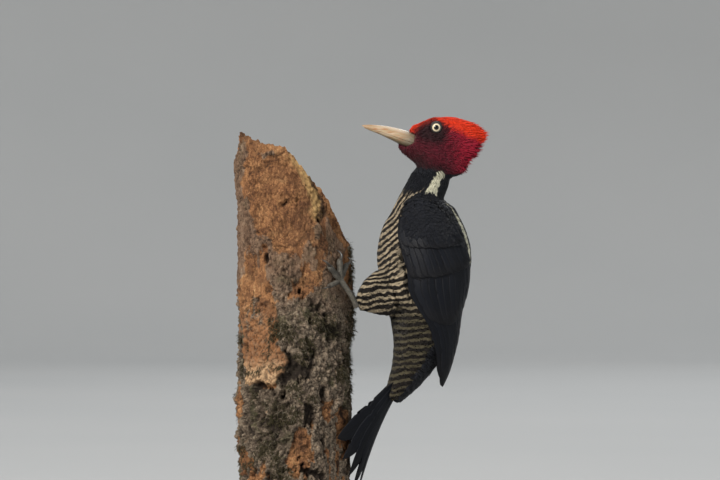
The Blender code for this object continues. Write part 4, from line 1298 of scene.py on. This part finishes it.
ground = log_mesh.copy()
points, ground_normals = vertices(ground) / MM, normals(ground)
angle = np.arctan2(points[:, 1], points[:, 0] - PERCH_X)
level, facing_bird = points[:, 2], np.cos(angle)
hang = np.array((0.0, 0.0, -1.0)) - ground_normals * -ground_normals[:, 2:]
hang /= np.maximum(np.linalg.norm(hang, axis=1), 0.2)[:, None]
clumps = ease(fractal(points, 24.0, 6.1) + 0.16 * facing_bird, 0.12, 0.34)
clumps = clumps * ease(level, 250, 205) * ease(level, 50, 58)
between_feet = ease(np.abs(angle), 0.32, 0.20) * ease(level, 168, 184) * ease(level, 300, 286)
between_feet *= ease(fractal(points, 9.0, 1.4), -0.25, 0.05)
in_use = between(level, 218, 228, 292, 300) + ease(level, 152, 140)
in_use = ease(facing_bird, 0.10, 0.25) * in_use
wild = np.maximum(clumps * (1 - np.clip(in_use, 0, 1)), between_feet)
wild *= np.abs(ground_normals[:, 2]) < 0.8
store(ground, "lie", hang, "FLOAT_VECTOR")
store(ground, "hold", 0 * level)
store(ground, "smooth_normal", ground_normals, "FLOAT_VECTOR")
store(ground, "feather_size", 0.75 + 0.5 * ease(lumps(points, 14.0, 8.0), -0.3, 0.3))
store(ground, "cover_moss", np.where(wild < COVER_LEAST, 0, wild))
unrolled = np.stack([angle / math.tau + 0.5, level / MOSS_MAP_HEIGHT], 1)
unwrap(ground, "SkinMap", unrolled[corner_vertices(ground)])
frond = vane("moss_frond", *MOSS_FROND)
moss, _ = grow("log_moss", ground, "cover_moss", frond, 0.92, (34, 34, 60), 0.0, moss_finish(), 300)
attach(moss, "root")

# ---- Wings
# Each folded wing is its own flight feathers and coverts, stiff black vanes on a shaft. They are laid
# over one another in rows, the inner ones on top, so that each shows its leading edge, and the
# primaries run on below the rest to the wing's tip.

QUILL_THICK = 0.2
WING_RIM = 0.06  # share of the wing at each edge over which its feathers crowd together
QUILL_TILT = 0.05  # how much a feather sinks across its width, under the one behind it
# Row: count, root heights, tip heights, root shares and tip shares from the front edge backwards (two
# tip shares are the ends of an even row), widths in front of and behind the shaft, and how far up the
# wing's thickness root and tip lie
WING_ROWS = {
    "primaries": (9, (290, 290), (163, 155, 158, 165.5, 174, 183, 192, 200, 207), (0.07, 0.40),
                  (0.17, 0.40, 0.56, 0.66, 0.73, 0.78, 0.80, 0.82, 0.84), (3.4, 6.6), (0.08, 0.95)),
    "primary_coverts": (7, (304, 302), (262, 256, 252, 250, 249, 250, 252), (0.03, 0.16),
                        (0.05, 0.29), (2.4, 4.6), (0.40, 0.66)),
    "secondaries": (10, (294, 286), (213, 211, 210, 210, 211, 213, 216, 220, 225, 232), (0.18, 0.90),
                    (0.22, 0.30, 0.38, 0.46, 0.54, 0.62, 0.69, 0.76, 0.83, 0.89), (5.4, 8.6), (0.22, 0.84)),
    "greater_coverts": (12, (300, 294), (251, 251, 252, 252, 253, 254, 255, 256, 258, 260, 262, 265),
                        (0.12, 0.93), (0.14, 0.91), (4.4, 6.2), (0.45, 0.90)),
    "alula": (3, (306, 303), (281, 276, 271), (0.02, 0.07), (0.05, 0.11), (2.8, 4.0), (0.62, 0.95)),
    "median_coverts": (13, (305, 303), (280, 279, 278, 277, 277, 277, 277, 277, 278, 279, 280, 282, 284),
                       (0.06, 0.94), (0.07, 0.91), (4.2, 5.6), (0.55, 1.0)),
}


def quill(spot, length, front, back, tip, steps, across, splits, draw, point=(2.4, 0.5)):
    """One flight feather as a closed shell: points, faces, and each point's place on the vane.

    spot(t, c, rise) gives points at shares t of the length, c mm beside the shaft and rise mm up.
    tip is the share of its length that narrows, by the two powers in point, and splits is how many
    gaps its edges have.
    """
    t = 1 - (1 - np.linspace(0, 1, steps + 1)) ** 1.25
    sides = np.linspace(-1, 1, across + 1)
    narrowed = 1 - np.clip((t - 1 + tip) / tip, 0, 1) ** point[0]
    outline = (0.30 + 0.70 * ease(t, 0.0, 0.22)) * narrowed ** point[1]
    half = np.maximum(outline, 0.05)[:, None] * np.where(sides < 0, front, back)[None, :] * np.abs(sides)
    for _ in range(splits):
        row, edge = draw.integers(steps // 3, steps - 1), draw.choice((0, -1))
        half[row, edge] *= draw.uniform(0.62, 0.85)
    c = half * np.sign(sides)
    rows = np.repeat(t[:, None], across + 1, 1)
    # Barbs run on towards the tip, so the outer columns reach a little further along.
    rows = np.clip(rows + 0.35 * np.abs(c) / length * (1 - rows), 0, 1)
    ridge = np.exp(-(c / 0.55) ** 2) * 0.24 * (1 - 0.7 * rows) + 0.16 * (1 - sides**2)
    thick = QUILL_THICK * (1 - 0.55 * np.abs(sides)) + 0.4 * np.exp(-(c / 0.6) ** 2) * (1 - rows)
    top = spot(rows, c, ridge).reshape(-1, 3)
    low = spot(rows, c, ridge - thick).reshape(-1, 3)
    wide = across + 1
    count = wide * (steps + 1)
    faces = []
    for i in range(steps):
        for j in range(across):
            a = i * wide + j
            faces.append((a, a + 1, a + wide + 1, a + wide))
            faces.append(tuple(count + k for k in faces[-1][::-1]))
        for j in (0, across):
            a = i * wide + j
            faces.append((a, a + wide, a + wide + count, a + count))
    for i in (0, steps):
        for j in range(across):
            a = i * wide + j
            faces.append((a, a + 1, a + 1 + count, a + count))
    vane_spot = np.stack([0.5 + 0.5 * np.broadcast_to(sides, rows.shape), rows], -1).reshape(-1, 2)
    return np.vstack([top, low]), faces, np.vstack([vane_spot, vane_spot])


def feather_sheaf(name, quills, finish):
    """All the flight feathers of one piece as one mesh, with the attributes that their finish reads."""
    points, faces, spots, picks, lengths = [], [], [], [], []
    for number, (own, own_faces, own_spots, length) in enumerate(quills):
        faces += [tuple(len(points) + k for k in face) for face in own_faces]
        points += own.tolist()
        spots.append(own_spots)
        picks += [(number * 0.618) % 1.0] * len(own)
        lengths += [length] * len(own)
    mesh = new_mesh(name, points, faces)
    corners, on_vane = corner_vertices(mesh), np.vstack(spots)
    unwrap(mesh, "Vane", on_vane[corners])
    # One strip of this map for each feather, its upper face in one half and its lower in the other.
    strip = np.repeat(np.arange(len(quills)), [len(own) for own in spots])
    under = np.concatenate([np.arange(len(own)) >= len(own) // 2 for own in spots])
    strips = np.stack([(strip + 0.06 + 0.88 * on_vane[:, 0]) / len(quills),
                       0.01 + 0.48 * on_vane[:, 1] + 0.5 * under], 1)
    unwrap(mesh, "OFBake", strips[corners])
    store(mesh, "pick", picks)
    store(mesh, "span", lengths)
    return link(name, mesh, finish)


def stiff_plumage():
    """Black flight feathers: close barbs on each side of a glossy shaft, browner at their worn tips."""
    quills = Finish("black_flight_feathers", 0.5, Specular_IOR_Level=0.11)
    across, lengthways, _ = xyz(quills.read("Vane", "Vector"))
    span, pick = quills.read("span"), quills.read("pick")
    side = (across - 0.5).math("ABSOLUTE")
    barbs = ((lengthways * span * 2.6 - side * 17.0) * math.tau).math("SINE")
    clumps = quills.noise(quills.place(scale=(1, 1, 0.5)), 2.4, 3.0)
    shaft = 1.0 - side.clamp(0.02, 0.07)
    rim = side.clamp(0.36, 0.50)
    worn = lengthways.clamp(0.72, 1.0) * (0.35 + clumps * 0.5)
    colour = quills.mix((0.0062, 0.0072, 0.0104), (0.0105, 0.0098, 0.0102), worn)
    colour = quills.mix(colour, (0.015, 0.0155, 0.018), rim * 0.5)
    colour = quills.mix(colour, (0.006, 0.006, 0.007), shaft * 0.7)
    shade = 0.86 + (pick - 0.5) * 0.3 + barbs * 0.05 + clumps * 0.2
    colour = quills.shaded(colour, shade)
    roughness = 0.44 + barbs * 0.04 + rim * 0.12 - shaft * 0.10
    return quills.finish(colour, roughness, barbs * 0.25 + clumps, 0.07)


def wing_spot(start, end, levels, sign, lift):
    """The mapping of one wing feather from its own length and width to its place on the wing."""
    def spot(t, c, rise):
        height = start[0] + (end[0] - start[0]) * t
        share = start[1] + (end[1] - start[1]) * t**1.15
        front, back = along(WING, height, 1, 2)
        _, depth, width = guide_at(height)
        arc = np.radians(front - back) * (depth + width) / 2
        place = share + c / arc
        near, far = WING_RIM, 1 - WING_RIM
        place = np.where(place < near, near * np.exp(np.minimum(place - near, 0) * 7), place)
        place = np.where(place > far, 1 - near * np.exp(-np.maximum(place - far, 0) * 7), place)
        level = levels[0] + (levels[1] - levels[0]) * t**0.75
        out = wing_thickness(height, place) * level + lift - QUILL_TILT * (c + 4) + rise
        points = wing_point(height, place, out)
        points[..., 1] *= sign
        return points
    return spot


draw = np.random.default_rng(1862)
flight_finish = stiff_plumage()
for side, sign in (("left", -1), ("right", 1)):
    quills = []
    for count, roots, tips, root_shares, tip_shares, widths, levels in WING_ROWS.values():
        if len(tip_shares) < count:
            tip_shares = np.linspace(*tip_shares, count)
        for k in range(count):
            mid = k / (count - 1)
            start = (roots[0] + (roots[1] - roots[0]) * mid,
                     root_shares[0] + (root_shares[1] - root_shares[0]) * mid)
            end = (tips[k] + draw.uniform(-0.7, 0.7), tip_shares[k] + draw.uniform(-0.006, 0.006))
            length = start[0] - end[0]
            spot = wing_spot(start, end, levels, sign, draw.uniform(-0.04, 0.04))
            steps, across = (34, 10) if length > 60 else (22, 8)
            tip = 11 / length if length > 60 else 7 / length
            own = quill(spot, length, *widths, tip, steps, across, int(length / 16), draw)
            quills.append((*own, length))
    wing = feather_sheaf(f"wing_feathers_{side}", quills, flight_finish)
    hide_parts(f"wing_{side}")
    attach(wing, "root")

# ---- Tail
# Ten stiff, pointed black tail feathers in a blunt wedge, the longest pair on top. They are pressed
# down on the bark and bend with it, as a woodpecker props itself on them.

TAIL_FEATHERS = 10
TAIL_HALF_ANGLE = 42.0
TAIL_TIP, TAIL_STEP_UP = 58.0, 64.0


def tail_face(u, v):
    """The tail's outer face in mm: u from -1 to 1 across it, v from 0 at its root to 1 at the tips."""
    wide = np.radians(TAIL_HALF_ANGLE) * u
    height = TAIL_TIP + TAIL_STEP_UP * np.abs(u) ** 1.7
    tip = on_perch(wide, height, 2.5 + 2.2 * (1 - np.abs(u)))
    droop = 14.0 * u * u
    root = np.stack([55.0 - 0.7 * droop, 13.0 * u, 170.0 + 0 * u], -1)
    bend = np.stack([24.0 - droop, 28.0 * u, 128.0 + 0.6 * droop], -1)
    v = v[..., None]
    return root * (1 - v) ** 2 + bend * 2 * v * (1 - v) + tip * v * v


def tail_spot(u0, layer):
    def spot(t, c, rise):
        reach = 13.0 + 25.0 * t
        u = np.clip(u0 * (0.55 + 0.45 * t**0.6) + c / reach, -1.04, 1.04)
        v = t * (1 - 0.002 * np.abs(c))
        here = tail_face(u, v)
        lengthways = tail_face(u, v + 0.01) - tail_face(u, v - 0.01)
        sideways = tail_face(u + 0.01, v) - tail_face(u - 0.01, v)
        up = np.cross(sideways, lengthways)
        up /= np.linalg.norm(up, axis=-1)[..., None]
        up *= np.where(up[..., :1] < 0, -1, 1)
        sunk = layer * (0.9 - 0.35 * t)
        return here + up * (rise - sunk - 0.1)[..., None]
    return spot


quills = []
for k in range(TAIL_FEATHERS):
    u0 = (k + 0.5) * 2 / TAIL_FEATHERS - 1
    rank = abs(k - (TAIL_FEATHERS - 1) / 2) - 0.5  # 0 for the two in the middle
    outer, inner = (4.2, 6.4) if u0 < 0 else (6.4, 4.2)
    length = 128 - 9 * rank**1.3
    spot = tail_spot(u0, 0.42 * rank + 0.05 * (k % 2))
    own = quill(spot, length, outer, inner, 0.36, 40, 10, 9, draw, (1.25, 0.85))
    quills.append((*own, length))
tail = feather_sheaf("tail_feathers", quills, flight_finish)
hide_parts("tail")
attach(tail, "root")

# ---- Bill
# The ivory, chisel-tipped bill in two horn halves that meet along the gape. Each is a loft along the
# bill: the upper one has a keel and a groove on each side, and both have fine streaks along them.


def bill_half(name, table, upward):
    """A loft of half-round sections, blunt at the tip, with the flat side on the gape."""
    start, end = table[0][0], table[-1][0]
    rings = []
    for share in np.linspace(0, 1, 76) ** 1.2:
        here = start + (end - start) * share
        low, high, width = (float(v) for v in along(table, here, 1, 2, 3))
        flat, crest = (low, high) if upward else (high, low)
        blunt = max(1 - max(1 - (here - start) / 1.3, 0) ** 2, 0.02) ** 0.5
        a = np.linspace(0, math.pi, 41)
        keel = np.exp(-((a - math.pi / 2) / 0.16) ** 2) * (0.035 if upward else 0.02)
        groove = np.exp(-((np.abs(a - math.pi / 2) - 0.80) / 0.11) ** 2) * 0.04 * ease(here, 24, 40)
        rise = np.sin(a) ** 0.85 + keel - groove * upward
        side = width * np.cos(a) * blunt * (1 - 0.04 * np.sin(2 * a) ** 2)
        level = flat + (crest - flat) * (rise * blunt + (1 - blunt) * 0.4 * np.sin(a))
        # The lower half has a tongue that fills the gape between the two.
        tongue = 0.0 if upward else 0.42 * blunt
        inside = np.linspace(-0.86, 0.86, 9)
        side = np.concatenate([side, inside * width * blunt])
        level = np.concatenate([level, flat + tongue * (1 - inside**8)])
        rings.append(np.stack([np.full(50, here), side, level], 1).tolist())
    mesh = loft(rings)
    half = link(name, mesh, bill_horn)
    mesh.set_sharp_from_angle(angle=math.radians(50))
    return half


def horn():
    """Old ivory with warm and pale streaks, greyer at the root, with painted light along the top and
    painted shadow along the underside.
    """
    ivory = Finish("ivory_bill_horn", 0.34, Subsurface_Weight=0.12, Subsurface_Scale=0.002,
                   Specular_IOR_Level=0.45)
    slope = ivory.place(scale=(0.09, 1.0, 1.0), turn=(0, 0.36, 0))
    streaks = ivory.noise(slope, 1.0, 4.0, 0.6)
    broad = ivory.noise(ivory.place(scale=(0.25, 0.7, 1.0), turn=(0, 0.36, 0)), 4.2, 2.0)
    from_x, _, level = xyz(ivory.place())
    x_mm, z_mm = from_x * 1000.0, level * 1000.0
    gape = 384.2 - (x_mm - 11.0) * 0.30
    below = (gape - z_mm).clamp(-0.5, 5.0)
    root = (x_mm - (z_mm - gape) * 0.6).clamp(38.0, 55.0)
    colour = ivory.mix((0.37, 0.265, 0.155), (0.33, 0.155, 0.066), streaks.clamp(0.44, 0.60) * 0.85)
    colour = ivory.mix(colour, (0.52, 0.43, 0.31), broad.clamp(0.44, 0.68) * 0.6)
    # Paler along the top as painted light from above, and dark below the gape as painted shadow on the
    # underside.
    colour = ivory.mix(colour, (0.62, 0.54, 0.43), (z_mm - gape).clamp(3.5, 7.0) * 0.7)
    colour = ivory.mix(colour, (0.100, 0.082, 0.048), below * 0.95)
    colour = ivory.mix(colour, (0.130, 0.105, 0.068), root * (0.62 + 0.5 * broad))
    colour = ivory.mix(colour, (0.10, 0.075, 0.042), streaks.clamp(0.36, 0.26) * 0.6)
    return ivory.finish(colour, 0.28 + streaks * 0.22, streaks + broad * 0.6, 0.10)


bill_horn = horn()
for name, table, upward in (("upper_bill", BILL_UPPER, True), ("lower_bill", BILL_LOWER, False)):
    half = bill_half(name, table, upward)
    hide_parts("bill_upper" if upward else "bill_lower")
    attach(half, "root")

# ---- Eyes
# Glass eyes with a pale cream iris, each with a low cornea over the iris, set behind a thin ring of
# bare dark eyelid skin.

EYE_RADIUS, IRIS_RADIUS, PUPIL_RADIUS = 5.5, 3.5, 2.15
CORNEA = 0.22  # how far it stands over the eyeball
LID_RADIUS = 4.15


def glass_eye(sign):
    """Iris, pupil and rim by the distance from the eye's own axis."""
    eye = Finish(f"glass_eye_{'left' if sign < 0 else 'right'}", 0.4, Coat_Weight=0.8, Coat_Roughness=0.02,
                 Specular_IOR_Level=0.0)
    spot = eye.place(centre=(EYE[0] * MM, sign * EYE[1] * MM, EYE[2] * MM))
    flat = eye.add("ShaderNodeVectorMath", {"operation": "MULTIPLY"}, {0: spot, 1: (1000.0, 0.0, 1000.0)})
    off = eye.add("ShaderNodeVectorMath", {"operation": "LENGTH"}, {0: flat}, 1)
    threads = eye.noise(eye.place(scale=(1, 0.1, 1)), 0.55, 3.0)
    colour = eye.mix((0.58, 0.47, 0.28), (0.74, 0.64, 0.45), (off + threads - 0.5).clamp(1.9, 3.0))
    colour = eye.mix(colour, (0.50, 0.37, 0.16), threads.clamp(0.5, 0.75) * 0.4)
    colour = eye.mix(colour, (0.03, 0.02, 0.014), off.clamp(IRIS_RADIUS - 0.15, IRIS_RADIUS + 0.15))
    colour = eye.mix((0.0015, 0.0015, 0.0015), colour, off.clamp(PUPIL_RADIUS - 0.07, PUPIL_RADIUS + 0.07))
    return eye.finish(colour)


for side, sign in (("left", -1), ("right", 1)):
    globe = ball(EYE * (1, sign, 1), (EYE_RADIUS,) * 3, 44, 48, CORNEA)
    eyeball = link(f"glass_eye_{side}", globe, glass_eye(sign))
    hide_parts(f"eye_{side}")
    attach(eyeball, "root")

lids = Finish("bare_eyelid_skin", 0.5, Specular_IOR_Level=0.4)
lid_grain = lids.noise(lids.place(), 0.5, 3.0)
lids.finish(lids.mix((0.012, 0.010, 0.010), (0.045, 0.036, 0.034), lid_grain),
            0.45 + lid_grain * 0.2, lid_grain, 0.12)
for side, sign in (("left", -1), ("right", 1)):
    rings = []
    for a in np.linspace(0, math.tau, 72, endpoint=False):
        # The lower lid stands a little further out, and both are pinched at the corners.
        pinch = 0.30 * abs(math.cos(a)) ** 6
        folds = 0.05 * math.sin(23 * a)
        ring = []
        for b in np.linspace(0, math.tau, 18, endpoint=False):
            tube = (0.62 + folds + 0.12 * math.sin(a) ** 2) * (1.0 + 0.25 * (math.cos(b) > 0))
            # Its outer flank slopes down over the eyeball to the skin.
            skirt = max(math.cos(b), 0.0) ** 1.5
            off = LID_RADIUS + pinch * 0.6 + tube * 0.9 * math.cos(b) + 1.0 * skirt
            out = math.sqrt(EYE_RADIUS**2 - LID_RADIUS**2) + 0.66 * tube * math.sin(b) - 1.9 * skirt
            ring.append((EYE[0] + off * math.cos(a), sign * (EYE[1] + out),
                         EYE[2] + 0.97 * off * math.sin(a)))
        rings.append(ring)
    lid = link(f"eyelids_{side}", loft(rings + rings[:1], closed_ends=False), lids.material)
    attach(lid, "root")

# ---- Feet
# Scaly grey legs and toes, two forward, one to the side and one back, gripping the bark, each toe with
# a strongly curved, narrow black claw. The scutes are steps in the loft and a pattern round it.

HEEL = np.array((6.0, 26.4, 226.5))
SOLE = (38.0, 249.0)  # where the toes spread: degrees round the log, and height
SOLE_ABOVE = 3.6
TOES = {"inner": (20.0, 270.0, 2.5), "middle": (38.0, 276.0, 2.8), "outer": (61.0, 268.0, 2.7),
        "hind": (60.0, 242.0, 2.3)}
LEG_RINGS, TOE_RINGS = 64, 110
CLAW_SHARE, CLAW_ARCH = 0.34, 2.2
SCUTE = 1.7  # length of one horny plate


def scaly_tube(path, radii, sides, out, squash=1.0, scutes=0.0):
    """Rings round a path of points in mm. out is which way its scaly front faces."""
    rings, travelled = [], 0.0
    for i, here in enumerate(path):
        way = path[min(i + 1, len(path) - 1)] - path[max(i - 1, 0)]
        way /= np.linalg.norm(way)
        up = out[i] - way * (out[i] @ way)
        up /= np.linalg.norm(up)
        aside = np.cross(way, up)
        if i:
            travelled += np.linalg.norm(here - path[i - 1])
        step = (travelled / SCUTE) % 1.0
        a = np.linspace(0, math.tau, sides, endpoint=False)
        front = np.clip(np.cos(a), 0, 1) ** 0.5
        under = np.clip(-np.cos(a), 0, 1)
        plates = front * (0.10 * (1 - step) - 0.03) + 0.10 * under * math.sin(travelled * 0.9)
        radius = radii[i] * (1 + scutes * plates)
        rings.append([here + up * r * math.cos(b) + aside * r * squash * math.sin(b)
                      for b, r in zip(a, radius)])
    return rings


def join_shells(meshes):
    bm = bmesh.new()
    for mesh in meshes:
        bm.from_mesh(mesh)
    joined = bpy.data.meshes.new("shells")
    bm.to_mesh(joined)
    bm.free()
    return joined


def scaly_skin():
    leg = Finish("scaly_leg_skin", 0.5, Specular_IOR_Level=0.4)
    where = leg.place()
    cells = leg.add("ShaderNodeTexVoronoi", {"feature": "DISTANCE_TO_EDGE"},
                    {"Vector": where, "Scale": 850.0, "Randomness": 0.7}, "Distance")
    seams = cells.clamp(0.02, 0.16)
    dust = leg.noise(where, 5.0, 4.0)
    colour = leg.mix((0.070, 0.062, 0.050), (0.150, 0.134, 0.105), dust.clamp(0.35, 0.7))
    colour = leg.mix((0.030, 0.028, 0.024), colour, 0.25 + seams * 0.75)
    return leg.finish(colour, 0.62 - seams * 0.18, seams, 0.16)


def claw_horn():
    horn_black = Finish("dark_claw_horn", 0.30, Specular_IOR_Level=0.5)
    length_grain = horn_black.noise(horn_black.place(scale=(1, 1, 0.3)), 0.8, 3.0)
    return horn_black.finish(horn_black.mix((0.018, 0.016, 0.015), (0.070, 0.060, 0.048), length_grain),
                             0.24 + length_grain * 0.2, length_grain, 0.04)


leg_finish, claw_finish = scaly_skin(), claw_horn()
for side, sign in (("left", -1), ("right", 1)):
    shells, claws = [], []
    sole = on_perch(np.radians(SOLE[0]) * sign, SOLE[1], SOLE_ABOVE)
    t = np.linspace(0, 1, LEG_RINGS)[:, None]
    heel = HEEL * (1, sign, 1)
    path = heel + (sole - heel) * t + np.array((1.2, 0.8 * sign, 0.0)) * np.sin(math.pi * t)
    radii = np.interp(t[:, 0], [0, 0.08, 0.2, 0.6, 0.85, 1], [3.4, 3.1, 2.5, 2.4, 2.8, 3.2])
    facing = np.tile(np.array((-0.4, 0.5 * sign, 1.0)), (LEG_RINGS, 1))
    shells.append(loft(scaly_tube(path, radii, 20, facing, 0.9, 0.7)))
    for end_angle, end_height, radius in TOES.values():
        t = np.linspace(0, 1, TOE_RINGS)
        turn = np.radians(SOLE[0] + (end_angle - SOLE[0]) * t) * sign
        level = SOLE[1] + (end_height - SOLE[1]) * t
        claw = np.clip((t - 1 + CLAW_SHARE) / CLAW_SHARE, 0, 1)
        thick = radius * (1 - 0.12 * t) * (1 - 0.72 * claw)
        above = 0.6 + thick + CLAW_ARCH * np.sin(math.pi * claw)
        line = on_perch(turn, level, above)
        facing = on_perch(turn, level, above + 1) - line
        toe = t <= 1 - CLAW_SHARE + 0.03
        knuckles = 1 + 0.07 * np.cos(t[toe] / (1 - CLAW_SHARE) * math.tau * 2.5)
        knuckles *= 1 - 0.35 * ease(t[toe], 1 - CLAW_SHARE - 0.01, 1 - CLAW_SHARE + 0.03)
        rows = scaly_tube(line[toe], thick[toe] * knuckles, 18, facing[toe], 1.0, 1.0)
        shells.append(loft(rows))
        start = t >= 1 - CLAW_SHARE - 0.04
        taper = np.linspace(0, 1, start.sum())
        hook = thick[start][0] * 0.86 * (1 - taper) ** 0.75 + 0.06
        curve = line[start] + facing[start] * (0.9 * np.sin(math.pi * taper) - 1.5 * taper**3)[:, None]
        claws.append(loft(scaly_tube(curve, hook, 14, facing[start], 0.62)))
    foot = link(f"scaly_foot_{side}", join_shells(shells), leg_finish)
    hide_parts(f"foot_{side}")
    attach(foot, "root")
    talons = link(f"claws_{side}", join_shells(claws), claw_finish)
    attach(talons, "root")

# ---- Studio
# A plain pale floor that curves up into a wall all round, and large soft lamps overhead. The camera
# is level with the bird's breast and far away, as a telephoto view from the side.

VIEW_MIDDLE = (8.8, 284.4)  # x and z in the middle of the picture
VIEW_WIDTH = 633.6  # width of the picture at the bird
VIEW_DISTANCE = 3.2  # metres
STUDIO_RADIUS = 7.5
STUDIO_CURVE = 2.2
STUDIO_HEIGHT = 6.0
STUDIO_SIDES, STUDIO_CURVE_STEPS = 96, 12
LAMPS_AIM = (0.0, 0.0, 0.25)
LAMPS = [  # name, place, size, power in watts, colour
    ("key", (-3.2, -4.0, 3.1), 2.2, 410.0, (1.0, 0.96, 0.91)),
    ("fill", (4.4, -3.4, 1.9), 3.0, 60.0, (0.93, 0.97, 1.0)),
    ("back", (1.4, 4.4, 3.8), 2.4, 80.0, (0.98, 0.99, 1.0)),
]


def studio_paint():
    paint = Finish("pale_studio_paint", 0.85)
    cloud = paint.noise(paint.place(), 900.0, 2.0)
    return paint.finish(paint.mix((0.44, 0.45, 0.45), (0.49, 0.49, 0.485), cloud))


outline = [(0.02, 0.0), (2.0, 0.0), (4.0, 0.0), (STUDIO_RADIUS - STUDIO_CURVE, 0.0)]
for step in range(1, STUDIO_CURVE_STEPS + 1):
    a = math.pi / 2 * step / STUDIO_CURVE_STEPS
    outline.append((STUDIO_RADIUS - STUDIO_CURVE * (1 - math.sin(a)), STUDIO_CURVE * (1 - math.cos(a))))
outline.append((STUDIO_RADIUS, STUDIO_HEIGHT))
outline_mm = [(radius / MM, level / MM) for radius, level in outline]
shell = turned(outline_mm, (0.0, 0.0), STUDIO_SIDES, closed_ends=False)
floor = link("studio_floor", shell, studio_paint())
bm = bmesh.new()
bm.from_mesh(floor.data)
bm.faces.new([v for v in bm.verts if abs(math.hypot(v.co.x, v.co.y) - outline[0][0]) < 1e-4])
bmesh.ops.recalc_face_normals(bm, faces=bm.faces)
if sum(face.normal.z for face in bm.faces) < 0:
    bmesh.ops.reverse_faces(bm, faces=bm.faces)
bm.to_mesh(floor.data)
bm.free()

world = bpy.data.worlds.new("studio_air")
world.use_nodes = True
air = world.node_tree.nodes["Background"].inputs
air["Color"].default_value = (0.92, 0.96, 1.0, 1.0)
air["Strength"].default_value = 0.55
bpy.context.scene.world = world
for name, spot, size, power, colour in LAMPS:
    lamp = bpy.data.lights.new(f"lamp_{name}", "AREA")
    lamp.size, lamp.energy, lamp.color = size, power, colour
    holder = in_scene(f"lamp_{name}", lamp)
    holder.location = spot
    aim = Vector(LAMPS_AIM) - Vector(spot)
    holder.rotation_euler = aim.to_track_quat("-Z", "Y").to_euler()
bpy.context.scene.view_settings.view_transform = "Standard"

lens = bpy.data.cameras.new("camera")
lens.lens = lens.sensor_width * VIEW_DISTANCE / (VIEW_WIDTH * MM)
lens.clip_end = 50.0
camera = in_scene("camera", lens)
camera.location = (VIEW_MIDDLE[0] * MM, -VIEW_DISTANCE, VIEW_MIDDLE[1] * MM)
camera.rotation_euler = (math.pi / 2, 0.0, 0.0)
bpy.context.scene.camera = camera
